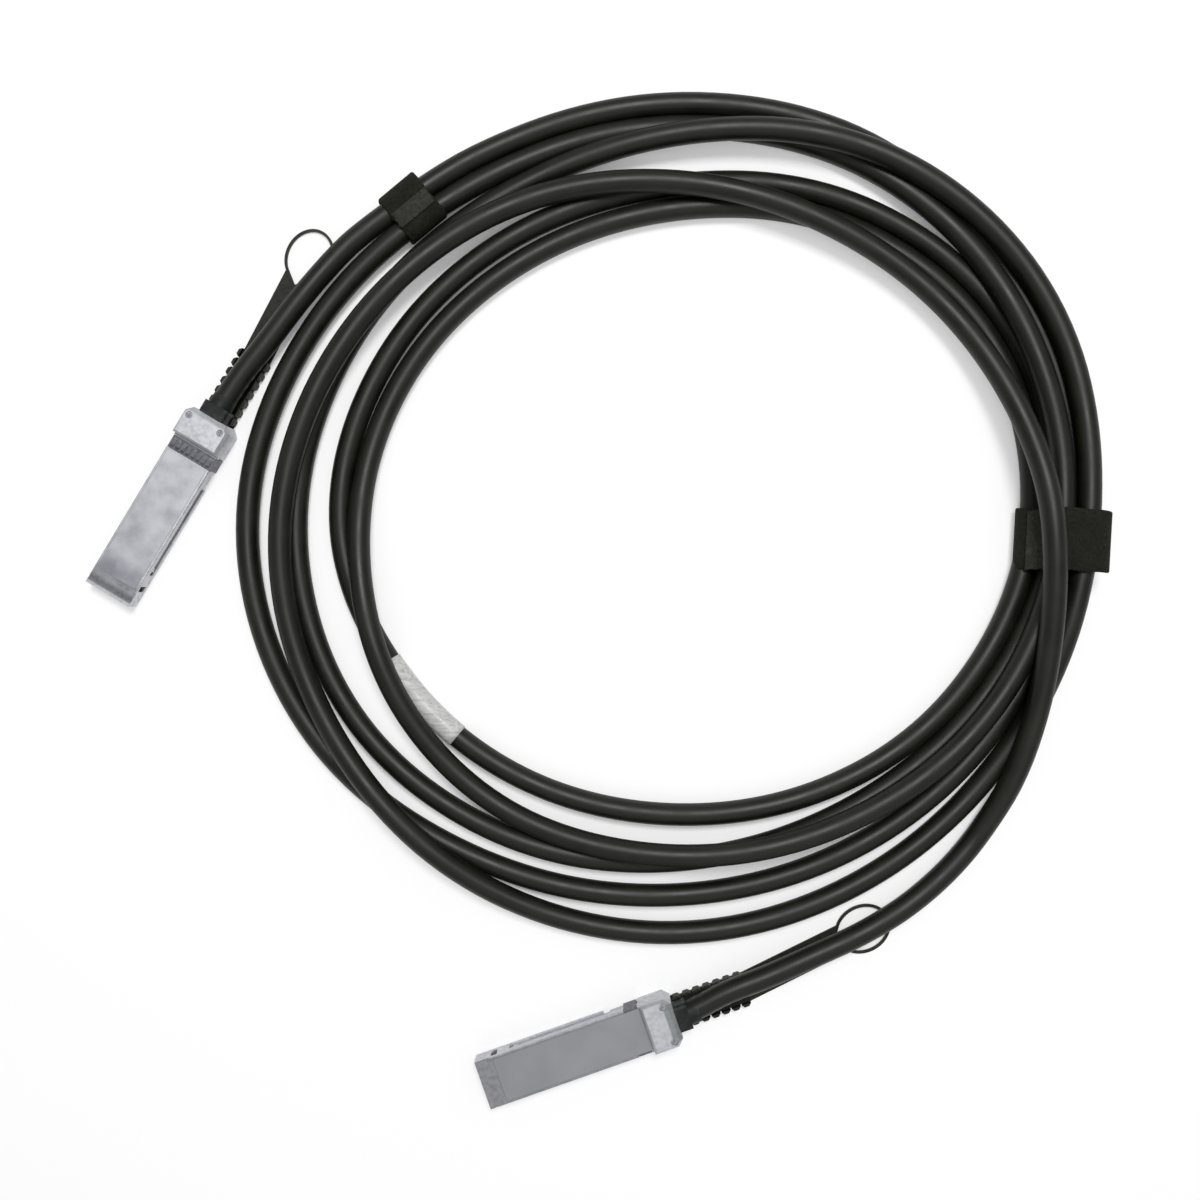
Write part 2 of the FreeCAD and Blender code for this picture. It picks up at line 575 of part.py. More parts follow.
# ---------------------------------------------------------------- latch, springs and pull tab
def latch_slider():
    """Bent sheet: plate under the plug, wings round its edges, side arms, and ears for the springs."""
    plate_top = PLATE_LOW + 0.8 * SHEET
    plate = slab(PLATE_START, PLATE_END, PLATE_HALF_WIDTH, PLATE_LOW, plate_top)
    wing_floor = slab(PLATE_START, PLATE_START + WING_LENGTH, ARM_OUTER, PLATE_LOW, plate_top)
    arm_low, arm_high = CHANNEL_LOW + FIT_GAP, CHANNEL_HIGH - FIT_GAP
    wing = block(PLATE_START, PLATE_START + WING_LENGTH, ARM_INNER, ARM_OUTER, PLATE_LOW, arm_high)
    arm = block(ARM_START, PLATE_START + 1, ARM_INNER, ARM_OUTER, arm_low, arm_high)
    lip = HALF_WIDTH - FIT_GAP
    tongue = prism([(ARM_START, ARM_OUTER - 0.1, arm_low + 0.4), (ARM_START + 0.6, lip, arm_low + 0.4),
                    (ARM_START + ARM_TONGUE_LENGTH, ARM_OUTER - 0.1, arm_low + 0.4)],
                   UP * (arm_high - arm_low - 0.8))
    ear = block(EAR_START, EAR_START + EAR_THICKNESS, EAR_INSET - EAR_WIDTH / 2, EAR_INSET + EAR_WIDTH / 2,
                PLATE_LOW, EAR_HEIGHT)
    pieces = [wing_floor] + both_sides(wing) + both_sides(arm) + both_sides(tongue) + both_sides(ear)
    slider = plate.fuse(pieces)
    return slider.cut(rivet_places(RIVET_R, -1, 3)).removeSplitter()


def rivet_places(radius, low, high):
    rods = [rod(radius, Vector(RIVET_X, y, low), high - low, UP) for y in (-RIVET_SPREAD, RIVET_SPREAD)]
    return rods[0].fuse(rods[1])


def tab_rivets():
    """Two flat rivets through the slider's plate and the tab's tongue."""
    top = PLATE_LOW + 0.8 * SHEET
    rivets = []
    for y in (-RIVET_SPREAD, RIVET_SPREAD):
        shank = rod(RIVET_R, Vector(RIVET_X, y, TAB_LOW + 0.02), top - TAB_LOW - 0.02, UP)
        rivets.append(shank)
    return Part.makeCompound(rivets)


def spring(length):
    """One coil spring along +Z: a six-sided wire swept along short runs round a helix."""
    turn = 2 * math.pi / SPRING_STEPS
    rise = length / (SPRING_COILS * SPRING_STEPS)
    points = [Vector(SPRING_R * math.cos(k * turn), SPRING_R * math.sin(k * turn), k * rise)
              for k in range(SPRING_COILS * SPRING_STEPS + 1)]
    along = (points[1] - points[0]).normalize()
    side = along.cross(Vector(1, 0, 0)).normalize()
    out = side.cross(along)
    section = []
    for k in range(SPRING_WIRE_SIDES):
        angle = 2 * math.pi * k / SPRING_WIRE_SIDES
        section.append(points[0] + (out * math.cos(angle) + side * math.sin(angle)) * (SPRING_WIRE_D / 2))
    ring = Part.makePolygon(section + section[:1])
    return Part.makePolygon(points).makePipeShell([ring], True, False, MITRED)


def return_springs():
    """Two compression springs between the slider's ears and the head's solid blocks."""
    start = EAR_START + EAR_THICKNESS + SPRING_WIRE_D / 2
    coil = spring(PLUG_LENGTH - HEAD_BACK_WALL - SPRING_WIRE_D / 2 - start)
    coil.rotate(Vector(0, 0, 0), Vector(0, 1, 0), 90)
    height = FLOOR_THICKNESS + SPRING_R + SPRING_WIRE_D / 2 + 0.05
    springs = []
    for y in (-EAR_INSET, EAR_INSET):
        placed = coil.copy()
        placed.translate(Vector(start, y, height))
        springs.append(placed)
    return Part.makeCompound(springs)


def tab_base():
    """Ribbed root of the pull tab, straight behind the head, with its thin tongue under the slider."""
    tongue = slab(TONGUE_START, TAB_BACK + 1, TONGUE_HALF_WIDTH, TAB_LOW, TAB_LOW + TONGUE_THICKNESS)
    tongue = tongue.cut(rivet_places(RIVET_R, -1, 3))
    end = TAB_BACK + TAB_BASE_LENGTH
    base = slab(TAB_BACK, end, TAB_BASE_WIDTH / 2, TAB_LOW, TAB_LOW + TAB_BASE_THICKNESS)
    pitch = TAB_BASE_LENGTH / TAB_TEETH
    teeth = []
    edge = TAB_BASE_WIDTH / 2
    for k in range(TAB_TEETH):
        x = TAB_BACK + k * pitch
        root, tip = edge - TAB_TOOTH_ROOT, edge + TAB_TOOTH_REACH
        tooth = prism([(x, root, TAB_LOW), (x + 0.2 * pitch, tip, TAB_LOW),
                       (x + 0.65 * pitch, tip, TAB_LOW), (x + 0.9 * pitch, root, TAB_LOW)],
                      UP * TAB_TOOTH_HEIGHT)
        teeth += both_sides(tooth)
    return base.fuse([tongue] + teeth)


def tab_strap(swing, reach):
    """Flat strap that ends in a thin finger loop, swung a little aside behind the base."""
    hinge = Vector(TAB_BACK + TAB_BASE_LENGTH, 0, 0)
    centre = Vector(PLUG_LENGTH + reach, 0, TAB_LOW)
    root, half = TAB_BASE_WIDTH / 2, TAB_STRAP_WIDTH / 2
    outline = [(hinge.x, -root), (centre.x, -half), (centre.x, half), (hinge.x, root)]
    web = prism([(x, y, TAB_LOW) for x, y in outline], UP * TAB_STRAP_THICKNESS)
    joint = rod(root, Vector(hinge.x, 0, TAB_LOW), TAB_STRAP_THICKNESS, UP)
    long_half, wide_half = LOOP_LENGTH / 2, LOOP_WIDTH / 2
    rim = Part.Face(Part.Wire(Part.Ellipse(centre, long_half, wide_half).toShape()))
    rim = rim.extrude(UP * TAB_STRAP_THICKNESS)
    # the opening is a drop: an ellipse whose straight sides run to a point in the strap
    hole_long, hole_wide = long_half - LOOP_RIM, wide_half - LOOP_RIM
    hole = Part.Face(Part.Wire(Part.Ellipse(centre, hole_long, hole_wide).toShape())).extrude(UP * 5)
    point = centre.x - hole_long - LOOP_POINT
    share = hole_long / (centre.x - point)            # where the straight sides touch the ellipse
    touch_x, touch_y = centre.x - hole_long * share, hole_wide * math.sqrt(1 - share**2)
    drop = prism([(point, 0, TAB_LOW), (touch_x, -touch_y, TAB_LOW), (touch_x, touch_y, TAB_LOW)], UP * 5)
    strap_part = web.fuse([joint, rim]).cut([hole, drop])
    strap_part.rotate(hinge, UP, swing)
    return strap_part


def pull_tab(swing, reach):
    return tab_base().fuse(tab_strap(swing, reach)).removeSplitter()


# ---------------------------------------------------------------- paddle card and cable end
def paddle_card():
    """Edge card: wide in the nose, narrow between the ledges."""
    nose_end = CARD_FRONT + CARD_NOSE_LENGTH
    wide = slab(CARD_FRONT, nose_end, CARD_NOSE_HALF_WIDTH, CARD_LOW, CARD_TOP)
    narrow = slab(nose_end, CARD_END, CARD_NARROW_HALF_WIDTH, CARD_LOW, CARD_TOP)
    return wide.fuse(narrow).removeSplitter()


def contact_pads():
    """Rows of gold contacts on both faces of the card's edge."""
    first = -PAD_PITCH * (PAD_COUNT - 1) / 2
    x0 = CARD_FRONT + PAD_INSET
    pads = []
    for low in (CARD_TOP, CARD_LOW - PAD_THICKNESS):
        for k in range(PAD_COUNT):
            y = first + k * PAD_PITCH
            pads.append(block(x0, x0 + PAD_LENGTH, y - PAD_WIDTH / 2, y + PAD_WIDTH / 2,
                              low, low + PAD_THICKNESS))
    return Part.makeCompound(pads)


def card_chips():
    """The memory chip and the small parts beside it."""
    return Part.makeCompound([block(x, x + length, y - width / 2, y + width / 2,
                                    CARD_TOP, CARD_TOP + height)
                              for x, y, length, width, height in CHIPS])


def twinax_fanout():
    """Bared core of the cable and its eight twinax pairs, fanned out to both faces of the card."""
    core = rod(CORE_R, Vector(CORE_START, 0, CABLE_EXIT_HEIGHT), PLUG_LENGTH - CORE_START, ALONG)
    pairs = []
    for entry, level in zip(BUNDLE_LEVELS, (CARD_TOP + PAIR_R, CARD_LOW - PAIR_R)):
        for lane in PAIR_LANES:
            near = Vector(CORE_START + 1, lane * BUNDLE_SPREAD, entry)
            bend = Vector(PAIR_BEND_END, near.y, near.z)
            fan = Vector(PAIR_BEND_START, lane, level)
            pairs.append(tube_through((Vector(PAIR_END, lane, level), fan, bend, near), PAIR_R))
    return Part.makeCompound([core.fuse(pairs)])


def tube_through(points, radius):
    """Round bar through a few points, with a ball at each bend."""
    pieces = []
    for start, end in zip(points, points[1:]):
        run = end - start
        pieces.append(rod(radius, start, run.Length, run))
    balls = [Part.makeSphere(radius, point) for point in points[1:-1]]
    return pieces[0].fuse(pieces[1:] + balls)


def crimp_ferrule():
    """Crimped ring on the core, with a flange held in the head."""
    ring = rod(FERRULE_R, Vector(FERRULE_START, 0, CABLE_EXIT_HEIGHT), PLUG_LENGTH - FERRULE_START, ALONG)
    flange_setback, flange_length = FERRULE_FLANGE
    flange_start = Vector(PLUG_LENGTH - flange_setback, 0, CABLE_EXIT_HEIGHT)
    flange = rod(FERRULE_FLANGE_R, flange_start, flange_length, ALONG)
    core = rod(CORE_R, Vector(FERRULE_START - 1, 0, CABLE_EXIT_HEIGHT), 2 * HEAD_LENGTH, ALONG)
    return ring.fuse(flange).cut(core)


def strain_relief_boot():
    """Soft collar behind the head, with a short taper along the cable."""
    half_height = BOOT_HEIGHT / 2
    low = CABLE_EXIT_HEIGHT - half_height
    collar = slab(PLUG_LENGTH, PLUG_LENGTH + BOOT_LENGTH, BOOT_WIDTH / 2, low, low + BOOT_HEIGHT)
    collar = collar.makeFillet(BOOT_ROUND, long_edges(collar, ALONG))
    start = Vector(PLUG_LENGTH + BOOT_LENGTH, 0, CABLE_EXIT_HEIGHT)
    taper = Part.makeCone(half_height, BOOT_TAPER_R, BOOT_TAPER_LENGTH, start, ALONG)
    bore = rod(CABLE_R, Vector(PLUG_LENGTH - 1, 0, CABLE_EXIT_HEIGHT), 4 * BOOT_LENGTH, ALONG)
    return collar.fuse(taper).cut(bore)


# ---------------------------------------------------------------- gasket, screws and plate
def emi_gasket(fingers_on_top):
    """Thin sheet ring round the body, with raised spring fingers on its top and sides."""
    side = HALF_WIDTH - GASKET_RECESS + 0.05
    low, high = GASKET_RECESS - GASKET_SHEET - 0.17, BODY_HEIGHT - GASKET_RECESS
    t = GASKET_SHEET
    outer = slab(GASKET_START, GASKET_END, side + t, low, high + t)
    ring = outer.cut(slab(GASKET_START - 1, GASKET_END + 1, side, low + t, high))
    fingers = []
    if fingers_on_top:
        pitch = 2 * side / GASKET_FINGERS
        half = pitch * GASKET_FINGER_SHARE / 2
        for k in range(GASKET_FINGERS):
            y = -side + (k + 0.5) * pitch
            fingers.append(finger_ridge(y - half, y + half, high + t))
    return ring.fuse(fingers).removeSplitter() if fingers else ring


def finger_ridge(y0, y1, z):
    """One arched finger, as a low trapezoid bar across the gasket."""
    x0, x1 = GASKET_START + 0.4, GASKET_END - 0.4
    slope = 1.0
    outline = [(x0, y0, z - 0.05), (x1, y0, z - 0.05), (x1 - slope, y0, z + GASKET_FINGER_RISE),
               (x0 + slope, y0, z + GASKET_FINGER_RISE)]
    return prism(outline, Vector(0, y1 - y0, 0))


def cover_screws():
    """Two cross-slot screws that hold the shells together in the head."""
    top = HEAD_HEIGHT - HEAD_TOP_ROUND / 3
    width, depth = SCREW_SLOT
    screws = []
    for y in (-SCREW_SPREAD, SCREW_SPREAD):
        head = rod(SCREW_HEAD_R, Vector(SCREW_X, y, top - SCREW_HEAD_HEIGHT), SCREW_HEAD_HEIGHT, UP)
        shank_low = UNDER_POCKET_DEPTH + 0.8
        shank = rod(SCREW_SHANK_R, Vector(SCREW_X, y, shank_low), top - SCREW_HEAD_HEIGHT - shank_low, UP)
        reach = 0.7 * SCREW_HEAD_R
        slot = block(SCREW_X - reach, SCREW_X + reach, y - width / 2, y + width / 2, top - depth, top + 1)
        cross = slot.copy()
        cross.rotate(Vector(SCREW_X, y, 0), UP, 90)
        screws.append(head.fuse(shank).cut([slot, cross]))
    return Part.makeCompound(screws)


def name_label(plate_end):
    """Bare face plate let into the body's top."""
    low = BODY_HEIGHT - PLATE_THICKNESS
    plate = slab(PLATE_FRONT, plate_end, PLATE_HALF, low, BODY_HEIGHT + 0.02)
    return plate.makeFillet(0.8, long_edges(plate, UP))


# ---------------------------------------------------------------- the whole object
def plug(settings):
    """Every piece of one plug, in the plug's own frame."""
    plate_end = HEAD_START - settings["plate_setback"]
    lower, upper = housing_shells(plate_end)
    return {
        "housing_lower": lower,
        "housing_upper": upper,
        "latch_slider": latch_slider(),
        "tab_rivets": tab_rivets(),
        "pull_tab": pull_tab(settings["tab_swing"], settings["tab_reach"]),
        "return_springs": return_springs(),
        "paddle_card": paddle_card(),
        "contact_pads": contact_pads(),
        "card_chips": card_chips(),
        "twinax_fanout": twinax_fanout(),
        "crimp_ferrule": crimp_ferrule(),
        "strain_relief_boot": strain_relief_boot(),
        "emi_gasket": emi_gasket(settings["fingers_on_top"]),
        "cover_screws": cover_screws(),
        "name_label": name_label(plate_end),
    }


def place(shape, settings):
    """Turn a plug's piece to its heading and move its nose to its place."""
    placed = shape.copy()
    placed.rotate(Vector(0, 0, 0), UP, settings["heading"])
    placed.translate(Vector(settings["nose"][0], settings["nose"][1], 0))
    return placed


def build():
    """All named pieces of the cable."""
    pieces = {}
    for end, settings in PLUGS.items():
        for name, shape in plug(settings).items():
            pieces[name + "_" + end] = place(shape, settings)
    start, direction = label_axis()
    envelopes = [strap_envelope(**values) for values in STRAPS.values()]
    pieces["cable_coil"] = cable_coil(envelopes, rod(LABEL_OUTER_R, start, LABEL_LENGTH, direction))
    pieces["cable_tail_a"] = tail(tail_points(PLUGS["a"], TAIL_A_ROUTE), "tail a")
    pieces["cable_tail_b"] = tail(tail_points(PLUGS["b"], TAIL_B_ROUTE), "tail b")
    pieces["cable_label"] = cable_label()
    for name, values in STRAPS.items():
        pieces[name] = strap(**values)
    return pieces


os.makedirs("parts", exist_ok=True)
for node, shape in build().items():
    shape.exportStep("parts/" + node + ".step")
    box = shape.BoundBox
    print(node, len(shape.Solids), "solid", round(shape.Volume, 1), "valid", shape.isValid(),
          [round(v, 2) for v in (box.XMin, box.XMax, box.YMin, box.YMax, box.ZMin, box.ZMax)])
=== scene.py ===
"""Direct attach copper cable: two pluggable metal plugs on one loosely coiled black cable."""

# %% [markdown]
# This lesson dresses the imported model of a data-centre cable. The plugs are already solid pieces
# of the frame, so they keep their shapes and get bevels and finishes. The cable, its two
# hook-and-loop straps and its wrap label are soft, so they are made afresh here. Blender works in
# metres, so a length that is typed in millimetres is multiplied by MM.

# %% Load the frame
import bpy
import bmesh
import math
import numpy as np
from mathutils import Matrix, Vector


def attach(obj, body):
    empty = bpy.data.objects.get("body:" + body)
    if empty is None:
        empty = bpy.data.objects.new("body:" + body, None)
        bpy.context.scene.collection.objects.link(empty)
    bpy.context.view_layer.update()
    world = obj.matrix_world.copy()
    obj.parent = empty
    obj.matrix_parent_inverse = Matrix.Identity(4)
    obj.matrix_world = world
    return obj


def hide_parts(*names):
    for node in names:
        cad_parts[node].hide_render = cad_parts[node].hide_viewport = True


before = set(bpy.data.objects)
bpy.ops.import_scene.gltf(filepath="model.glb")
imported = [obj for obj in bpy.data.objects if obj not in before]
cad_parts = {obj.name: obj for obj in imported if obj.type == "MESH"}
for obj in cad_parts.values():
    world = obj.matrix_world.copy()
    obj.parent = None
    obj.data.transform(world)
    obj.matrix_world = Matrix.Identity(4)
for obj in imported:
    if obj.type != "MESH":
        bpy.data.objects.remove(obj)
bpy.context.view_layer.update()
ROOT = "cable_and_plugs"
MM = 0.001

# %% [markdown]
# The cable lies on a table and is looked at from straight above. A camera could be rotated to face
# the object, but an unrotated Blender camera already looks down its own -Z axis with +Y at the top
# of the frame, so it only has to be lifted over the middle. The lens is given in millimetres for a
# sensor 36 mm wide, and the height sets how strongly the taller pieces lean outwards.

# %% Camera
CAMERA_OVER = (0.3 * MM, 0.4 * MM)
CAMERA_HEIGHT = 0.450
CAMERA_LENS = 35.89
SENSOR_WIDTH = 36.0
NEAREST_SEEN = 0.01

camera_data = bpy.data.cameras.new("camera")
camera_data.sensor_width = SENSOR_WIDTH
camera_data.lens = CAMERA_LENS
camera_data.clip_start = NEAREST_SEEN
camera = bpy.data.objects.new("camera", camera_data)
camera.location = (*CAMERA_OVER, CAMERA_HEIGHT)
bpy.context.scene.collection.objects.link(camera)
bpy.context.scene.camera = camera
print("camera over", tuple(round(v, 4) for v in camera.location))

# %% [markdown]
# The cable is about five metres of twinax pairs in one round black jacket. Its coil is described
# the way a person would measure it: the distance of each turn from the coil's middle, every 30
# degrees, one row for each turn. Where the cable first comes in it bends faster, so that stretch
# is measured every 5. Typing hundreds of points by hand would give the same coil, but nobody could
# read or mend them. The distances are those seen from the camera, which looks down at a ruler held
# just above the table. Between two of them the cable follows a smooth cubic. Angles run on from
# turn to turn, so the third turn starts at 720 degrees.

# %% What is known of the coil
CABLE_D = 8.5 * MM
CABLE_R = CABLE_D / 2
COIL_CENTRE = (26.9, 30.4)
COIL_END = 5 * 360 + 130
RULER_HEIGHT = 7.0 * MM
TURN_STEP = 30          # degrees
TURN_RADII = (
    (141.5, 130.4, 124.2, 124.7, 131.1, 137.6, 144.6, 148.3, 152.2, 153.2, 151.1, 150.2),
    (153.9, 160.7, 156.3, 142.9, 134.6, 135.8, 139.5, 139.1, 132.4, 125.9, 125.5, 131.8),
    (141.4, 143.9, 134.6, 123.2, 119.8, 121.0, 122.5, 116.3, 110.7, 109.2, 114.9, 125.7),
    (135.0, 135.4, 125.4, 114.3, 110.2, 111.9, 116.1, 120.8, 124.3, 125.0, 129.4, 138.0),
    (144.8, 148.8, 152.2, 144.8, 143.2, 149.9, 157.3, 154.8, 145.0, 139.1, 139.0, 142.9),
    (148.2, 152.6, 154.2, 152.8, 152.0, 161.5),
)
LEAD_IN_START, LEAD_IN_STEP = -60, 5      # degrees
LEAD_IN_RADII = (
    168.4, 167.4, 166.0, 163.6, 160.5, 157.2, 153.8, 150.8, 147.9, 145.4, 143.6, 142.2, 141.3,
)


def wanted_radius(degree):
    """Distance of the cable from the coil's middle at a running angle, as seen, in metres."""
    if degree < 0:
        stations = range(LEAD_IN_START, 1, LEAD_IN_STEP)
        return float(np.interp(degree, stations, LEAD_IN_RADII)) * MM
    lead_in = LEAD_IN_RADII[:-1:TURN_STEP // LEAD_IN_STEP]
    radii = [*lead_in, *(r for turn in TURN_RADII for r in turn)]
    place = degree / TURN_STEP + len(lead_in)
    k = math.floor(place)
    t = place - k
    a, b, c, d = (radii[min(k + j, len(radii) - 1)] for j in (-1, 0, 1, 2))
    return ((2 * t**3 - 3 * t**2 + 1) * b + (t**3 - 2 * t**2 + t) * (c - a) / 2
            + (3 * t**2 - 2 * t**3) * c + (t**3 - t**2) * (d - b) / 2) * MM


print("radius at the start, middle and end:",
      [round(wanted_radius(d) / MM, 1) for d in (LEAD_IN_START, COIL_END // 2, COIL_END)])

# %% [markdown]
# A strand doesn't always lie on the bare table. In a strap it lies on the tape, and the first turn
# comes in over the side strap and its bundle. The straps could be made first and the cable laid on
# them, but they are pulled round the cable, so here only the room that their tape takes is set
# down.

# %% What lies under the cable
TAPE_ROOM = 1.3 * MM       # the tape under a strand, and a little air
STRAPS = {      # middle degree, width in millimetres, and the turns that pass through it
    "strap_upper": (129.8, 16.5, (5, 6)),
    "strap_side": (-3.2, 22.5, (2, 3, 4, 5, 6)),
}
STRAP_REACH = 5.5          # degrees to each side of a strap's middle
OVER_STRAP = (-11, 5, 24.1 * MM)      # first and last degree, and height, over the side strap


def running(turn, degree):
    """The running angle of a degree on one of the coil's turns, which are counted from 1."""
    return (turn - 1) * 360 + degree


def table_under(degree):
    """Lowest height that the cable's middle can have at a running angle."""
    first, last, bridge = OVER_STRAP
    if first <= degree <= last:
        return bridge
    on_tape = any(abs(degree - running(turn, middle)) < STRAP_REACH
                  for middle, width, turns in STRAPS.values() for turn in turns)
    return CABLE_R + TAPE_ROOM if on_tape else CABLE_R


print("lowest middle of the cable, on the table, on tape and over the side strap:",
      [round(table_under(d) / MM, 2) for d in (60, running(2, -3), 0)], "mm")

# %% [markdown]
# Seen from above the turns cross one another again and again, and each crossing has one cable on
# top. Heights could be typed as well, but a hand-typed pile floats or cuts through itself. Here
# each stretch starts at the level it should end on, in cable diameters. Then the whole coil is let
# down a little at a time: cables that come too close push each other apart, the stiff jacket evens
# out bumps, and the table stops it. That is a tiny simulation of our own, quick and always the
# same. A cable that lies high looks further out than it is, so its wanted distance shrinks with
# its height.

# %% How the coil settles
START_LEVELS = (      # turn, first and last degree, height in diameters
    (1, -36, -3, 2.1), (1, -3, 8, 2.6), (1, 8, 250, 1.0), (2, -2, 40, 1.2), (2, 45, 105, 1.9),
    (3, 335, 355, 0.7), (4, 176, 216, 0.9), (4, 240, 360, 1.0), (5, -20, 78, 0.95),
)
SETTLE_STEP = 5               # degrees
SETTLE_ROUNDS = 700
PUSHES = 2                    # in each round
LET_DOWN = 0.12 * MM          # in each round
PULL_BACK = 0.06              # share of the way to the wanted distance, in each round
SIDEWAYS = 0.35               # share of a push that may move a cable sideways
SPACING = 1.005 * CABLE_D     # from middle to middle
EVEN_OUT = 0.25               # share of a bump that its neighbours take away
LEAST_RISE = 0.01 * MM        # keeps the upper cable of a crossing on top
LEAST_APART = 0.001 * MM      # keeps a division by zero out


def strands_side_by_side(run):
    """Places of the run that share a direction on different turns, as two rows of partners."""
    at = {}
    for k, degree in enumerate(run):
        at.setdefault(int(degree) % 360, []).append(k)
    return np.array([(i, j) for group in at.values()
                     for n, i in enumerate(group) for j in group[n + 1:]]).T


def even_out(line):
    """Take the bumps of a row of numbers down a little; its two ends stay."""
    line[1:-1] += EVEN_OUT * (line[:-2] + line[2:] - 2 * line[1:-1])


print("settling in", SETTLE_ROUNDS, "rounds of", round(LET_DOWN / MM, 2), "mm")

# %% [markdown]
# The rounds themselves. Each starts from the distances wanted at the present heights, lets the
# cable down, and pushes apart what overlaps, each of two cables by half. The one that starts on
# top at a crossing stays on top.

# %% Let the coil settle


def settled_coil():
    """Running angles, radii and heights of the cable once it lies still."""
    run = np.arange(LEAD_IN_START, COIL_END + 2 * SETTLE_STEP, SETTLE_STEP)
    seen = np.array([wanted_radius(d) for d in run])
    aside = ((camera.location.x - COIL_CENTRE[0] * MM) * np.cos(np.radians(run))
             + (camera.location.y - COIL_CENTRE[1] * MM) * np.sin(np.radians(run)))
    floor = np.array([table_under(d) for d in run])
    r, z = seen.copy(), floor.copy()
    for turn, first, last, level in START_LEVELS:
        here = (run >= running(turn, first)) & (run <= running(turn, last))
        z[here] = CABLE_R + level * CABLE_D
    one, other = strands_side_by_side(run)
    above = np.sign(np.round(z[one] - z[other], 6))
    for _ in range(SETTLE_ROUNDS):
        nearer = (CAMERA_HEIGHT - z) / (CAMERA_HEIGHT - RULER_HEIGHT)
        wanted = nearer * seen + (1 - nearer) * aside
        z -= LET_DOWN
        r += PULL_BACK * (wanted - r)
        for _ in range(PUSHES):
            dr, dz = r[one] - r[other], z[one] - z[other]
            dz = np.where(above > 0, np.maximum(dz, LEAST_RISE), dz)
            dz = np.where(above < 0, np.minimum(dz, -LEAST_RISE), dz)
            apart = np.maximum(np.hypot(dr, dz), LEAST_APART)
            push = 0.5 * np.maximum(SPACING - apart, 0) / apart
            for k, sign in ((one, 1), (other, -1)):
                np.add.at(r, k, sign * SIDEWAYS * push * dr)
                np.add.at(z, k, sign * push * dz)
            z = np.maximum(z, floor)
        even_out(z)
        bent = r - wanted
        even_out(bent)
        r = wanted + bent
        z = np.maximum(z, floor)
    gaps = np.hypot(r[one] - r[other], z[one] - z[other]) / CABLE_D
    print("closest two cables come:", round(float(gaps.min()), 2), "diameters; highest point",
          round(float(z.max() + CABLE_R) / MM, 1), "mm")
    return run, r, z


coil_run, coil_r, coil_z = settled_coil()

# %% [markdown]
# From the settled coil comes one row of points: out of plug b, along its tail, round the coil, and
# along the other tail into plug a. The tails could be settled too, but they are short and lie on
# the table, so their points are typed, and those next to a plug are given in the plug's own
# millimetres. A NURBS spline of order 3 passes just inside its points, so the turns' points sit a
# touch further out.

# %% Points along the cable
PLUGS = {"a": ((-181.9, 2.6), 59.0), "b": ((-43.1, -179.2), 19.4)}  # nose, and heading in degrees
PLUG_LENGTH = 76.0
CABLE_EXIT_HEIGHT = 6.8
LEAD_A = ((0, 0), (16.5, 0))                                # beyond the plug, and aside
LEAD_B = ((0, 0), (8.5, 0.4), (16.5, 1.9), (25.0, 2.6))
TAIL_A_ROUTE = (
    (-123.2, 95.4, 6.8), (-110.9, 112.2, 6.5), (-97.5, 127.8, 6.1), (-88.3, 136.6, 5.8),
)
TAIL_B_ROUTE = (
    (62.0, -139.4, 6.6), (79.6, -131.5, 6.4), (95.8, -124.3, 6.2), (110.9, -115.6, 6.0),
    (123.0, -106.6, 5.0), (133.5, -96.6, 4.4), (142.5, -85.2, 4.5),
)
COIL_START = -37        # degrees, where tail b has joined the coil
POINT_STEP = 10
SPLINE_PULL = math.cos(math.radians(POINT_STEP / 2))


def leaving(end, lead):
    """Points of the cable where it leaves a plug, from (beyond, aside) to where that plug lies."""
    (nose_x, nose_y), heading = PLUGS[end]
    c, s = math.cos(math.radians(heading)), math.sin(math.radians(heading))
    return [Vector((nose_x + c * (PLUG_LENGTH + x) - s * y, nose_y + s * (PLUG_LENGTH + x) + c * y,
                    CABLE_EXIT_HEIGHT)) * MM for x, y in lead]


def cable_at(degree):
    """Distance from the coil's middle, and height, of the settled cable at a running angle."""
    return (float(np.interp(degree, coil_run, coil_r)),
            float(np.interp(degree, coil_run, coil_z)))


def coil_point(degree, r, z):
    """A point in metres at a direction and distance from the coil's middle."""
    angle = math.radians(degree)
    x = COIL_CENTRE[0] * MM + r * math.cos(angle)
    y = COIL_CENTRE[1] * MM + r * math.sin(angle)
    return Vector((x, y, z))


points = leaving("b", LEAD_B) + [Vector(p) * MM for p in TAIL_B_ROUTE]
for degree in range(COIL_START, COIL_END + 1, POINT_STEP):
    r, z = cable_at(degree)
    points.append(coil_point(degree, r / SPLINE_PULL, z))
points += [Vector(p) * MM for p in reversed(TAIL_A_ROUTE)]
points += reversed(leaving("a", LEAD_A))
print("cable points", len(points))

# %% [markdown]
# Now the cable itself. A mesh tube would have to be bent by hand, while a Blender curve is one
# line of control points with a round bevel, so it stays smooth and can still be edited. The order
# and the end-point setting come after the points, because Blender lowers the order of an empty
# spline. Each point's radius times the bevel depth is the cable's real radius. The depth is 1
# here, because Blender widens a curve's bounding box by the points' radius alone.

# %% Make the cable
curve = bpy.data.curves.new("cable", "CURVE")
curve.dimensions = "3D"
curve.bevel_depth = 1.0
curve.bevel_resolution = 6
curve.resolution_u = 5
spline = curve.splines.new("NURBS")
spline.points.add(len(points) - 1)
for spot, point in zip(spline.points, points):
    spot.co = (*point, 1.0)
    spot.radius = CABLE_R
spline.order_u = 3
spline.use_endpoint_u = True
cable = bpy.data.objects.new("cable", curve)
bpy.context.scene.collection.objects.link(cable)
print("cable of", len(spline.points), "points, order", spline.order_u)

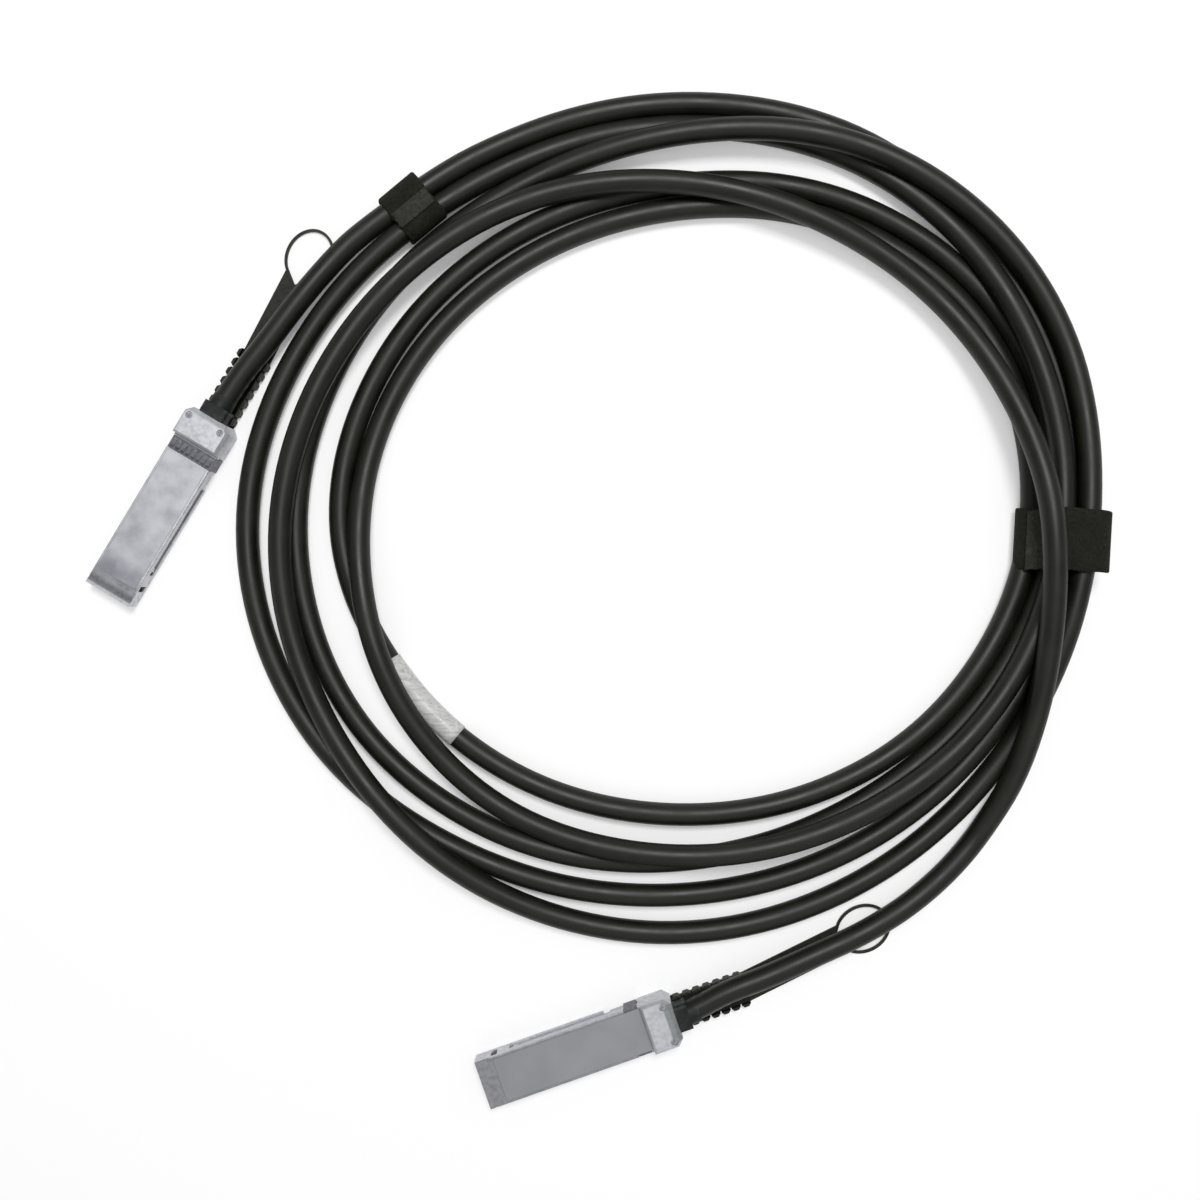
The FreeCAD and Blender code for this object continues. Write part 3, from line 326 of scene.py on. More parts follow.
# %% [markdown]
# The points of a NURBS curve don't lie on it, so its length is measured on the line that it really
# follows. The cable is then hung under the object's root and takes the place of three solids of the
# frame, which are hidden. Its length is the one that such a cable is sold in.


def line_of(curve_object):
    """The smooth line that a curve really follows, as points."""
    plain = curve_object.data.copy()
    plain.bevel_depth = 0
    helper = bpy.data.objects.new("line", plain)
    bpy.context.scene.collection.objects.link(helper)
    bpy.context.view_layer.update()
    evaluated = helper.evaluated_get(bpy.context.evaluated_depsgraph_get())
    mesh = bpy.data.meshes.new_from_object(evaluated)
    found = [v.co.copy() for v in mesh.vertices]
    bpy.data.objects.remove(helper)
    bpy.data.meshes.remove(mesh)
    bpy.data.curves.remove(plain)
    return found


cable_line = line_of(cable)
cable_length = sum((b - a).length for a, b in zip(cable_line, cable_line[1:]))
print("cable length", round(cable_length, 3), "m")

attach(cable, ROOT)
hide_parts("cable_tail_a", "cable_coil", "cable_tail_b")

# %% [markdown]
# Before any finish is made, a few small helpers. Wiring shader nodes by hand takes three lines for
# each node, and most of a material is such lines. One helper adds a node and fills in or links its
# inputs, another opens a new node group, which is a finish that many materials can share, and a
# third opens a material. Colours are typed as they look on a screen and turned to light here.

# %% Node helpers


def fill(tree, node, inputs):
    """Give each named input of a node its value, or link it to the socket that it should follow."""
    for name, value in inputs.items():
        if isinstance(value, bpy.types.NodeSocket):
            tree.links.new(value, node.inputs[name])
        else:
            node.inputs[name].default_value = value
    return node


def add(tree, kind, inputs=None, **settings):
    """A new node with its settings and its inputs."""
    node = tree.nodes.new(kind)
    for name, value in settings.items():
        setattr(node, name, value)
    return fill(tree, node, inputs or {})


def new_group(name, inputs, outputs):
    """An empty node group with named sockets: the tree, its input node and its output node."""
    tree = bpy.data.node_groups.new(name, "ShaderNodeTree")
    kinds = {"value": "NodeSocketFloat", "colour": "NodeSocketColor"}
    for label, kind, value in inputs:
        socket = tree.interface.new_socket(label, in_out="INPUT", socket_type=kinds[kind])
        socket.default_value = value
    for label, kind in outputs:
        tree.interface.new_socket(label, in_out="OUTPUT", socket_type=kinds[kind])
    return tree, add(tree, "NodeGroupInput"), add(tree, "NodeGroupOutput")


def new_material(name):
    """An empty material: itself, its node tree and its Principled shader."""
    material = bpy.data.materials.new(name)
    material.use_nodes = True
    return material, material.node_tree, material.node_tree.nodes["Principled BSDF"]


def colour(r, g, b):
    """A colour as seen on a screen, from 0 to 255, turned to the light values that shaders use."""
    def light(v):
        v /= 255
        return v / 12.92 if v <= 0.04045 else ((v + 0.055) / 1.055) ** 2.4
    return (light(r), light(g), light(b), 1.0)


print("a mid grey of 128 is", round(colour(128, 128, 128)[0], 3), "in light")

# %% [markdown]
# The rest stand for the nodes that come back again and again. Written out each time, they would
# hide what a finish is about. Each gives back the socket that holds its result.

# %% More node helpers


def own_place(tree):
    """Where a spot of the surface lies on its own object."""
    return add(tree, "ShaderNodeTexCoord").outputs["Object"]


def noise(tree, place, scale, detail, roughness=0.5):
    """Soft blotches between 0 and 1; a larger scale makes them smaller."""
    return add(tree, "ShaderNodeTexNoise", {"Vector": place, "Scale": scale, "Detail": detail,
                                            "Roughness": roughness}).outputs[0]


def reckon(tree, operation, first, second, **settings):
    """Two numbers put through one operation, such as MULTIPLY."""
    return add(tree, "ShaderNodeMath", {0: first, 1: second}, operation=operation,
               **settings).outputs[0]


def rise(tree, value, low, high, to_low=0.0, to_high=1.0):
    """Stretch a value from one range to another, and stop it at the ends."""
    return add(tree, "ShaderNodeMapRange", {"Value": value, "From Min": low, "From Max": high,
                                            "To Min": to_low, "To Max": to_high}).outputs[0]


def blend_colours(tree, share, low, high, blend="MIX"):
    """Mix of two colours by a share from 0 to 1."""
    return add(tree, "ShaderNodeMix", {0: share, 6: low, 7: high}, data_type="RGBA",
               blend_type=blend).outputs[2]


print("node helpers ready")

# %% [markdown]
# Few real surfaces have one even colour. Cast metal is cloudy, rubber is dusty, and a jacket has
# been handled. An image texture would need an image and a mapping. Noise made from the object's
# own position needs neither, and it has the same grain on every piece. This group gives a cloudy
# mix of two colours, a mask for roughness and a fine height for bump.

# %% Group: cloudy surface
cloudy, given, out = new_group(
    "cloudy_surface",
    [("Cloud Scale", "value", 120.0), ("Grain Scale", "value", 2500.0),
     ("Dark", "colour", (0.1, 0.1, 0.1, 1)), ("Light", "colour", (0.2, 0.2, 0.2, 1)),
     ("Speck", "value", 0.2)],
    [("Colour", "colour"), ("Mask", "value"), ("Height", "value")])
place = own_place(cloudy)
cloud = noise(cloudy, place, given.outputs["Cloud Scale"], detail=4.0, roughness=0.6)
grain = noise(cloudy, place, given.outputs["Grain Scale"], detail=2.0, roughness=0.7)
mask = rise(cloudy, cloud, 0.32, 0.68)
specked = reckon(cloudy, "MULTIPLY", grain, given.outputs["Speck"])
share = reckon(cloudy, "ADD", mask, specked, use_clamp=True)
mixed = blend_colours(cloudy, share, given.outputs["Dark"], given.outputs["Light"])
fill(cloudy, out, {"Colour": mixed, "Mask": mask, "Height": grain})
print("group", cloudy.name)

# %% [markdown]
# Edges that hands and cages touch are rubbed brighter or duller. Blender's Pointiness says how
# sharply the surface turns at each corner, so a narrow slice of it is a mask of the edges. Broken
# up with noise, it looks like wear and not like a drawn line. On a flat face it is 0.5.

# %% Group: worn edges
worn, given, out = new_group(
    "worn_edges",
    [("Base", "colour", (0.1, 0.1, 0.1, 1)), ("Rubbed", "colour", (0.4, 0.4, 0.4, 1)),
     ("Reach", "value", 0.06), ("Break Up", "value", 600.0)],
    [("Colour", "colour"), ("Mask", "value")])
FLAT, JUST_BENT = 0.5, 0.505
sharp = add(worn, "ShaderNodeNewGeometry").outputs["Pointiness"]
top = reckon(worn, "ADD", FLAT, given.outputs["Reach"])
edge = rise(worn, sharp, JUST_BENT, top)
breaks = noise(worn, own_place(worn), given.outputs["Break Up"], detail=3.0)
patchy = reckon(worn, "MULTIPLY", edge, rise(worn, breaks, 0.35, 0.6))
rubbed_over = blend_colours(worn, patchy, given.outputs["Base"], given.outputs["Rubbed"])
fill(worn, out, {"Colour": rubbed_over, "Mask": patchy})
print("group", worn.name)

# %% [markdown]
# Hook-and-loop tape is a woven ribbon with a nap of tiny loops. Single loops are far too small to
# model, so a Voronoi pattern gives a field of little tufts and a fine noise gives the fuzz on
# them. Both feed the height, while the fuzz and some larger patches lighten the colour.

# %% Group: looped nap
nap, given, out = new_group(
    "looped_nap",
    [("Tuft Scale", "value", 1500.0), ("Dark", "colour", (0.01, 0.01, 0.01, 1)),
     ("Light", "colour", (0.05, 0.05, 0.05, 1))],
    [("Colour", "colour"), ("Height", "value")])
FUZZ_SCALE, PATCH_SCALE = 900.0, 160.0
place = own_place(nap)
tufts = add(nap, "ShaderNodeTexVoronoi", {"Vector": place, "Scale": given.outputs["Tuft Scale"],
                                          "Randomness": 0.9}).outputs["Distance"]
fuzz = noise(nap, place, FUZZ_SCALE, detail=5.0, roughness=0.75)
patch = noise(nap, place, PATCH_SCALE, detail=3.0)
lit = reckon(nap, "MULTIPLY", rise(nap, fuzz, 0.35, 0.7), rise(nap, patch, 0.3, 0.7, 0.3, 1.0))
mixed = blend_colours(nap, lit, given.outputs["Dark"], given.outputs["Light"])
fill(nap, out, {"Colour": mixed, "Height": reckon(nap, "SUBTRACT", fuzz, tufts)})
print("group", nap.name)

# %% [markdown]
# A die-cast shell isn't one colour from end to end: on its top it is darker in a band behind the
# nose and duller at its back lip. Painting that by hand would need an image, so this group measures
# how far a spot is from the plug's nose, and says which faces look up. A colour ramp then turns the
# distance into a tint.

# %% Group: along the plug
along_plug, given, out = new_group(
    "along_plug",
    [("Nose X", "value", 0.0), ("Nose Y", "value", 0.0),
     ("Heading X", "value", 1.0), ("Heading Y", "value", 0.0)],
    [("Along", "value"), ("Top", "value")])
nose, way = (add(along_plug, "ShaderNodeCombineXYZ",
                 {axis: given.outputs[name + " " + axis] for axis in "XY"}).outputs[0]
             for name in ("Nose", "Heading"))
off = add(along_plug, "ShaderNodeVectorMath", {0: own_place(along_plug), 1: nose},
          operation="SUBTRACT").outputs[0]
far = add(along_plug, "ShaderNodeVectorMath", {0: off, 1: way},
          operation="DOT_PRODUCT").outputs["Value"]
facing = add(along_plug, "ShaderNodeNewGeometry").outputs["Normal"]
up = add(along_plug, "ShaderNodeSeparateXYZ", {0: facing}).outputs["Z"]
fill(along_plug, out, {"Along": rise(along_plug, far, 0.0, PLUG_LENGTH * MM),
                       "Top": rise(along_plug, up, 0.7, 0.9)})
print("group", along_plug.name)

# %% [markdown]
# A finish is a Principled shader with these groups in front of it. Most pieces of a plug differ
# only in colour, gloss and how metallic they are, so one function lays out the nodes and each
# finish passes its own values. Numbers that are the same all over sit on the shader's own sockets.

# %% Finish builder
GRAIN_DEPTH = 0.05 * MM


def tinted(tree, seen, end, tints):
    """The colour, multiplied on faces that look up by tints set at distances from a nose."""
    (nose_x, nose_y), heading = PLUGS[end]
    where = add(tree, "ShaderNodeGroup",
                {"Nose X": nose_x * MM, "Nose Y": nose_y * MM,
                 "Heading X": math.cos(math.radians(heading)),
                 "Heading Y": math.sin(math.radians(heading))}, node_tree=along_plug)
    ramp = add(tree, "ShaderNodeValToRGB", {"Fac": where.outputs["Along"]})
    marks = ramp.color_ramp.elements
    marks.remove(marks[1])
    for k, (distance, tint) in enumerate(tints):
        mark = marks[0] if k == 0 else marks.new(distance / PLUG_LENGTH)
        mark.position = distance / PLUG_LENGTH
        mark.color = (*tint, 1.0)
    return blend_colours(tree, where.outputs["Top"], seen, ramp.outputs[0], blend="MULTIPLY")


def finish(name, dark, light, rough, metal=0.0, cloud=120.0, grain=2500.0, speck=0.2, bump=0.1,
           rubbed=None, reach=0.06, coat=0.0, spread=0.08, specular=0.5, end=None, tints=()):
    """A cloudy, slightly grainy material, with worn edges if a rubbed colour is given."""
    material, tree, shader = new_material(name)
    surface = add(tree, "ShaderNodeGroup",
                  {"Cloud Scale": cloud, "Grain Scale": grain, "Dark": dark, "Light": light,
                   "Speck": speck}, node_tree=cloudy)
    seen = surface.outputs["Colour"]
    if rubbed:
        seen = add(tree, "ShaderNodeGroup", {"Base": seen, "Rubbed": rubbed, "Reach": reach},
                   node_tree=worn).outputs["Colour"]
    if tints:
        seen = tinted(tree, seen, end, tints)
    gloss = rise(tree, surface.outputs["Mask"], 0, 1, rough - spread, rough + spread)
    grainy = add(tree, "ShaderNodeBump", {"Strength": bump, "Distance": GRAIN_DEPTH,
                                          "Height": surface.outputs["Height"]}).outputs[0]
    fill(tree, shader, {"Base Color": seen, "Roughness": gloss, "Metallic": metal,
                        "Coat Weight": coat, "Specular IOR Level": specular, "Normal": grainy})
    return material


print("finish builder ready")

# %% [markdown]
# The shells are die-cast zinc, plated to a dull grey. Each has its own tints along its top: the
# first has a dark band behind its nose, and the second is dull up to its head. One material for
# both would be simpler, but then they'd look alike.

# %% Finishes of the shells and plates
FULL = (1.0, 1.0, 1.0)                 # tints: shares of red, green and blue
HAZE = (0.74, 0.74, 0.77)
LIP = (0.74, 0.76, 0.74)
SHADE = (0.66, 0.66, 0.67)
GREY = (0.57, 0.57, 0.58)
LIP_BACK, LIP_FRONT = (0.56, 0.59, 0.56), (0.50, 0.53, 0.50)
BAND = (0.36, 0.36, 0.37)
SHELL_TINTS = {                        # millimetres from the nose, and the tint there
    "a": ((0.0, FULL), (0.9, FULL), (1.6, BAND), (3.2, BAND), (4.6, SHADE), (7.5, SHADE),
          (12.0, FULL), (73.6, FULL), (74.3, LIP), (76.0, LIP)),
    "b": ((0.0, GREY), (63.4, GREY), (64.2, FULL), (72.2, FULL), (72.8, LIP_FRONT),
          (76.0, LIP_BACK)),
}
PLATE_TINTS = ((6.0, SHADE), (10.0, HAZE), (16.0, FULL), (70.0, FULL))

shell = {end: finish("die_cast_" + end, colour(176, 177, 182), colour(190, 191, 196), 0.5,
                     metal=0.85, cloud=110, bump=0.12, rubbed=colour(202, 202, 206), speck=0.1,
                     end=end, tints=SHELL_TINTS[end])
         for end in "ab"}
die_cast_under = finish("die_cast_under", colour(166, 167, 172), colour(186, 187, 192), 0.5,
                        metal=0.85, cloud=90, bump=0.2, rubbed=colour(204, 204, 208), speck=0.15)
plate_mottled = finish("face_plate_bright", colour(184, 184, 191), colour(195, 196, 201), 0.46,
                       metal=0.85, cloud=130, bump=0.08, speck=0.1, end="a", tints=PLATE_TINTS)
plate_grey = finish("face_plate_grey", colour(143, 144, 148), colour(150, 151, 155), 0.5,
                    metal=0.5, cloud=80, bump=0.05, speck=0.08)
print("finishes:", [made.name for made in (*shell.values(), die_cast_under, plate_mottled,
                                           plate_grey)])

# %% [markdown]
# The small metal parts are sheet steel, wire and turned steel. They could share one material, but
# each is made and handled in its own way: the gasket's fingers are darker and rubbed at their
# tips, the latch slider is smooth and bright, and the springs and rivets are shinier still.

# %% Finishes of the small metal parts
gasket_steel = finish("gasket_steel", colour(84, 84, 92), colour(104, 104, 110), 0.5,
                      metal=0.9, cloud=350, rubbed=colour(118, 118, 124), bump=0.1, speck=0.1)
latch_steel = finish("latch_steel", colour(160, 160, 164), colour(188, 188, 192), 0.36,
                     metal=1.0, cloud=200, bump=0.08)
spring_steel = finish("spring_steel", colour(140, 140, 144), colour(176, 176, 180), 0.28,
                      metal=1.0, cloud=400)
screw_steel = finish("screw_steel", colour(126, 127, 131), colour(160, 161, 165), 0.4,
                     metal=0.9, cloud=500, rubbed=colour(180, 180, 184))
rivet_steel = finish("rivet_steel", colour(150, 150, 152), colour(190, 190, 192), 0.32,
                     metal=1.0, cloud=400)
ferrule_steel = finish("ferrule_steel", colour(150, 148, 142), colour(186, 184, 178), 0.35,
                       metal=1.0, cloud=300)
print("finishes:", [made.name for made in (gasket_steel, latch_steel, spring_steel, screw_steel,
                                           rivet_steel, ferrule_steel)])

# %% [markdown]
# The boot and the pull tab are black rubber. Real black is never 0: it is a dark grey that shows
# its form by its shine, so both colours are a little above black, and worn edges pick out the
# ribs. The card, its contacts, chips and wires are inside the plug, and show only through its
# mouth.

# %% Finishes of rubber, card and wires
boot_rubber = finish("boot_rubber", colour(9, 11, 11), colour(21, 24, 24), 0.55, cloud=250,
                     bump=0.2, rubbed=colour(40, 44, 43), reach=0.1, specular=0.28)
tab_rubber = finish("tab_rubber", colour(9, 9, 6), colour(24, 24, 18), 0.55, cloud=180,
                    bump=0.25, rubbed=colour(44, 44, 37), reach=0.14, specular=0.25)
circuit_green = finish("circuit_board", colour(18, 62, 44), colour(34, 88, 62), 0.4,
                       cloud=300, coat=0.3)
gold = finish("gold_contact", colour(196, 152, 74), colour(226, 186, 104), 0.25,
              metal=1.0, cloud=500)
chip_black = finish("chip_black", colour(20, 20, 22), colour(38, 38, 40), 0.55,
                    cloud=400, bump=0.2)
pair_jacket = finish("twinax_insulation", colour(120, 128, 150), colour(168, 174, 190), 0.35,
                     metal=0.5, cloud=300, bump=0.1)
print("finishes:", [made.name for made in (boot_rubber, tab_rubber, circuit_green, gold, chip_black,
                                           pair_jacket)])

# %% [markdown]
# Each solid of the frame now gets its material. No real edge is perfectly sharp, and a sharp one
# catches no light, so most pieces also get a small bevel. It could be cut into the mesh, but the
# frame's meshes are never changed, and a bevel modifier leaves them as they are. It works only
# where two faces meet at more than 35 degrees.

# %% Dress the plugs
SHARP_EDGE = math.radians(35)


def dress(node, material, bevel=0.0, segments=2):
    """Give a piece of the frame its material, and soft edges where a bevel in mm is asked for."""
    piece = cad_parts[node]
    piece.data.materials.clear()
    piece.data.materials.append(material)
    if bevel:
        soft = piece.modifiers.new("soft_edges", "BEVEL")
        soft.width = bevel * MM
        soft.segments = segments
        soft.limit_method = "ANGLE"
        soft.angle_limit = SHARP_EDGE
        soft.harden_normals = True


for end in "ab":
    dress("housing_upper_" + end, shell[end], bevel=0.25)
    dress("housing_lower_" + end, die_cast_under, bevel=0.2)
    dress("name_label_" + end, plate_mottled if end == "a" else plate_grey)
    dress("emi_gasket_" + end, gasket_steel, bevel=0.06, segments=1)
    dress("latch_slider_" + end, latch_steel, bevel=0.06, segments=1)
    dress("return_springs_" + end, spring_steel)
    dress("cover_screws_" + end, screw_steel, bevel=0.06, segments=1)
    dress("tab_rivets_" + end, rivet_steel, bevel=0.06, segments=1)
    dress("crimp_ferrule_" + end, ferrule_steel, bevel=0.1)
    dress("strain_relief_boot_" + end, boot_rubber, bevel=0.25)
    dress("pull_tab_" + end, tab_rubber, bevel=0.18)
    dress("paddle_card_" + end, circuit_green, bevel=0.05, segments=1)
    dress("contact_pads_" + end, gold)
    dress("card_chips_" + end, chip_black, bevel=0.05, segments=1)
    dress("twinax_fanout_" + end, pair_jacket)
print("bevelled pieces", sum(len(piece.modifiers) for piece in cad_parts.values()))

# %% [markdown]
# The cable's jacket is soft black plastic. From above it has a broad dull highlight along its top
# and falls away to black at its sides. A mirror-smooth black would look wet, so a little dust and
# handling roughen it.

# %% Finish of the cable
jacket = finish("cable_jacket", colour(10, 10, 6), colour(22, 22, 16), 0.46, cloud=70, grain=3000,
                bump=0.14, speck=0.35, specular=0.36, spread=0.06)
curve.materials.append(jacket)
print("jacket on", cable.name)

# %% [markdown]
# Each strap is a ribbon of hook-and-loop tape pulled round a few cables. It could be a box with
# round corners, but real tape lies tight on the cables and bridges between them. So the ribbon
# follows the convex hull of the cables' circles, seen along the cable. A slack strap stands off
# its outermost cable, as if one more lay there.

# %% Find the loop round the cables
STRAP_SLACK = {"strap_upper": 0.0, "strap_side": 3.0 * MM}


def strands_in(name):
    """Centres (distance from the coil's middle, height) of the cables inside a strap."""
    middle, width, turns = STRAPS[name]
    centres = [cable_at(running(turn, middle)) for turn in turns]
    outermost, height = max(centres)
    return centres + [(outermost + STRAP_SLACK[name], height)]


def hull_round(centres, radius, steps=72):
    """Closed loop of corners that lies tight round circles of one radius."""
    spots = []
    for k in range(steps * len(centres)):
        angle = 2 * math.pi * (k // len(centres)) / steps
        cx, cz = centres[k % len(centres)]
        spots.append((cx + radius * math.cos(angle), cz + radius * math.sin(angle)))
    spots = sorted(set(spots))

    def turns_in(a, b, c):
        return (b[0] - a[0]) * (c[1] - a[1]) - (b[1] - a[1]) * (c[0] - a[0]) <= 0

    def half_hull(line):
        chain = []
        for spot in line:
            while len(chain) > 1 and turns_in(chain[-2], chain[-1], spot):
                chain.pop()
            chain.append(spot)
        return chain[:-1]

    return half_hull(spots) + half_hull(spots[::-1])


def even_loop(corners, count):
    """The same closed loop, with points an even distance apart."""
    ring = np.array(corners + corners[:1])
    lengths = np.concatenate([[0], np.cumsum(np.hypot(*np.diff(ring, axis=0).T))])
    spots = np.linspace(0, lengths[-1], count, endpoint=False)
    return [(float(np.interp(s, lengths, ring[:, 0])), float(np.interp(s, lengths, ring[:, 1])))
            for s in spots]


print("cables in the straps:", {name: len(turns) for name, (_, _, turns) in STRAPS.items()})

# %% [markdown]
# A thin section with rounded edges is then carried round that loop, one row of corners at each
# point. A flat strip with Blender's Solidify would be quicker, but its edges would be square and
# dead straight, while hand-wound tape wanders a little from side to side.

# %% Carry a section round a loop


def piece_from(name, verts, faces):
    """A smooth mesh object from points and faces, with its normals facing out."""
    mesh = bpy.data.meshes.new(name)
    mesh.from_pydata([tuple(v) for v in verts], [], faces)
    work = bmesh.new()
    work.from_mesh(mesh)
    bmesh.ops.recalc_face_normals(work, faces=work.faces)
    work.to_mesh(mesh)
    work.free()
    for face in mesh.polygons:
        face.use_smooth = True
    piece = bpy.data.objects.new(name, mesh)
    bpy.context.scene.collection.objects.link(piece)
    return piece


def tape_section(width, thick):
    """Corners of a tape's section: places across it, and shares of its thickness."""
    half, edge = width / 2, 0.45 * thick
    inner = [(-half, 0.35), (-half + edge, 0.0), (0, 0.0), (half - edge, 0.0), (half, 0.35)]
    outer = [(half, 0.65), (half - edge, 1.0), (half / 2, 1.0), (0, 1.0), (-half / 2, 1.0),
             (-half + edge, 1.0), (-half, 0.65)]
    return inner + outer


def ribbon(name, loop, degree, width, thick, closed=True, lift=0.0, wander=0.0, skew=0.0):
    """Tape along a loop of (distance, height) points. Its edges wander, and skew moves its end."""
    ring = np.array(loop)
    if closed:
        ahead = np.roll(ring, -1, axis=0) - np.roll(ring, 1, axis=0)
    else:
        ahead = np.gradient(ring, axis=0)
    ahead /= np.hypot(ahead[:, 0], ahead[:, 1])[:, None]
    outward = np.stack([ahead[:, 1], -ahead[:, 0]], axis=1)
    section = tape_section(width, thick)
    angle = math.radians(degree)
    out3 = Vector((math.cos(angle), math.sin(angle), 0))
    along = Vector((-math.sin(angle), math.cos(angle), 0))
    middle = Vector((COIL_CENTRE[0] * MM, COIL_CENTRE[1] * MM, 0))
    verts, faces, n, rows = [], [], len(section), len(loop)
    for k, ((r, z), (nr, nz)) in enumerate(zip(loop, outward)):
        swing = 2 * math.pi * k / rows
        for across, share in section:
            off = lift + share * thick
            waves = math.sin(3 * swing + 40 * across) + 0.5 * math.sin(7 * swing)
            side = across + wander * waves + skew * k / rows
            rim = Vector((0, 0, z + nz * off))
            verts.append(middle + out3 * (r + nr * off) + along * side + rim)
    for k in range(rows if closed else rows - 1):
        this_row, next_row = k * n, ((k + 1) % rows) * n
        for j in range(n):
            beside = (j + 1) % n
            faces.append((this_row + j, this_row + beside, next_row + beside, next_row + j))
    if not closed:
        faces += [tuple(range(n)), tuple(range((rows - 1) * n, rows * n))]
    return piece_from(name, verts, faces)


print("a section has", len(tape_section(10, 1)), "corners")

# %% [markdown]
# A real strap is one tape that goes round and is pressed down on itself. It could be one spiral,
# but then its start would cut through its end where they overlap. So each strap is a closed loop
# with its free end as a second piece on top, a little narrower, thinner and askew.

# %% Make the straps
TAPE_T = 1.1 * MM
TAPE_ROWS = 120
STRAP_AIR = 0.1 * MM           # between the cables and the tape
FREE_END = {      # where it starts and stops, from the tape's inner edge, and skew, in millimetres
    "strap_upper": (4.0, 10.5, 0.6),
    "strap_side": (-2.0, 11.5, -0.9),
}
FREE_END_T = 0.8 * TAPE_T
FREE_END_NARROWER = 0.8
PRESSED_IN = 0.05 * MM
TAPE_WANDER, FREE_END_WANDER = 0.22 * MM, 0.15 * MM

for name, (degree, width, turns) in STRAPS.items():
    hull = hull_round(strands_in(name), CABLE_R + STRAP_AIR)
    loop = even_loop(hull, TAPE_ROWS)
    band = ribbon(name + "_tape", loop, degree, width * MM, TAPE_T, wander=TAPE_WANDER)
    first, last, skew = FREE_END[name]
    least = min(r for r, z in loop)
    half_way = (min(z for r, z in loop) + max(z for r, z in loop)) / 2
    top = [(r, z) for r, z in loop if z > half_way and first * MM <= r - least <= last * MM]
    free_end = ribbon(name + "_free_end", top, degree, (width - FREE_END_NARROWER) * MM,
                      FREE_END_T, closed=False, lift=TAPE_T - PRESSED_IN,
                      wander=FREE_END_WANDER, skew=skew * MM)
    for piece in (band, free_end):
        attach(piece, ROOT)
    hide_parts(name)
    round_it = sum(math.dist(a, b) for a, b in zip(loop, loop[1:] + loop[:1]))
    print(name, "loop", round(round_it / MM, 1), "mm round, free end of", len(top), "rows")

# %% [markdown]
# The loops of the tape scatter light in all directions, so it has almost no shine, and a deep bump
# breaks up its surface. Blender's hair could show each loop, but at this size it would only cost
# time. The free end shows the tape's hook side, which is stiffer and greyer.

# %% Finish of the straps


def tape_finish(name, dark, light):
    """Hook-and-loop tape between two colours."""
    material, tree, shader = new_material(name)
    fuzzy = add(tree, "ShaderNodeGroup", {"Dark": dark, "Light": light}, node_tree=nap)
    bumps = add(tree, "ShaderNodeBump", {"Strength": 0.7, "Distance": 0.3 * MM,
                                         "Height": fuzzy.outputs["Height"]}).outputs[0]
    fill(tree, shader, {"Base Color": fuzzy.outputs["Colour"], "Roughness": 0.9,
                        "Specular IOR Level": 0.25, "Normal": bumps})
    return material


loop_side = tape_finish("strap_fabric", colour(13, 14, 8), colour(40, 41, 31))
hook_side = tape_finish("strap_free_end", colour(34, 34, 30), colour(68, 68, 61))
for name in STRAPS:
    bpy.data.objects[name + "_tape"].data.materials.append(loop_side)
    bpy.data.objects[name + "_free_end"].data.materials.append(hook_side)
print("tape on", len(STRAPS), "straps")

# %% [markdown]
# The wrap label is a strip of thin film rolled round one strand, with its free edge lying on
# itself. A plain tube would show no edge, so its section is a little more than one full turn,
# which climbs over its own first edge, and it follows the cable's own line.

# %% Path of the wrap label
LABEL_TURN, LABEL_DEGREE = 3, 215.2
LABEL_LENGTH = 38.0 * MM
LABEL_ROWS = 19


def stretch_of(line, middle, length, rows):
    """Rows of points along a line, half the length to each side of its point nearest a place."""
    marks = np.concatenate([[0], np.cumsum([(b - a).length for a, b in zip(line, line[1:])])])
    spot = np.array([tuple(p) for p in line])
    near = int(np.argmin(np.linalg.norm(spot - np.array(middle), axis=1)))
    at = np.linspace(marks[near] - length / 2, marks[near] + length / 2, rows)
    return [Vector([float(np.interp(s, marks, spot[:, j])) for j in range(3)]) for s in at]


label_run = running(LABEL_TURN, LABEL_DEGREE)
label_middle = coil_point(label_run, *cable_at(label_run))
label_path = stretch_of(cable_line, label_middle, LABEL_LENGTH, LABEL_ROWS)
print("label round the strand at", [round(v / MM, 1) for v in label_middle], "mm")

# %% [markdown]
# Film has two faces and a thickness, so each row of the label is two arcs, one for the inner face
# and one for the outer. Faces then join the rows, and narrow ones close the film's edges. A single
# sheet would be enough for the eye, but its edge would have no thickness to catch the light.

# %% Roll the wrap label
FILM = 0.16 * MM
LABEL_AIR = 0.05 * MM                   # between the jacket and the film
LABEL_STEPS = 44                        # round the strand
LABEL_START, LABEL_SWEEP = -60, 400     # degrees, so the last 40 lie on the first 40
LAP = 0.12                              # the last share of the sweep, which climbs
LAP_CLIMB = 1.1                         # in films

verts, faces = [], []
for k, spot in enumerate(label_path):
    ahead = (label_path[min(k + 1, LABEL_ROWS - 1)] - label_path[max(k - 1, 0)]).normalized()
    side = Vector((0, 0, 1)).cross(ahead).normalized()
    up = ahead.cross(side)
    for layer in (0, 1):
        for j in range(LABEL_STEPS + 1):
            turn = math.radians(LABEL_START + LABEL_SWEEP * j / LABEL_STEPS)
            climb = LAP_CLIMB * max(0.0, j / LABEL_STEPS - (1 - LAP)) / LAP
            radius = CABLE_R + LABEL_AIR + FILM * (layer + climb)
            verts.append(spot + (side * math.cos(turn) + up * math.sin(turn)) * radius)
arc = LABEL_STEPS + 1
row = 2 * arc
for k in range(LABEL_ROWS - 1):
    for j in range(LABEL_STEPS):
        for layer in (0, 1):
            a = k * row + layer * arc + j
            faces.append((a, a + 1, a + 1 + row, a + row))
    for j in (0, LABEL_STEPS):
        a, b = k * row + j, k * row + arc + j
        faces.append((a, b, b + row, a + row))
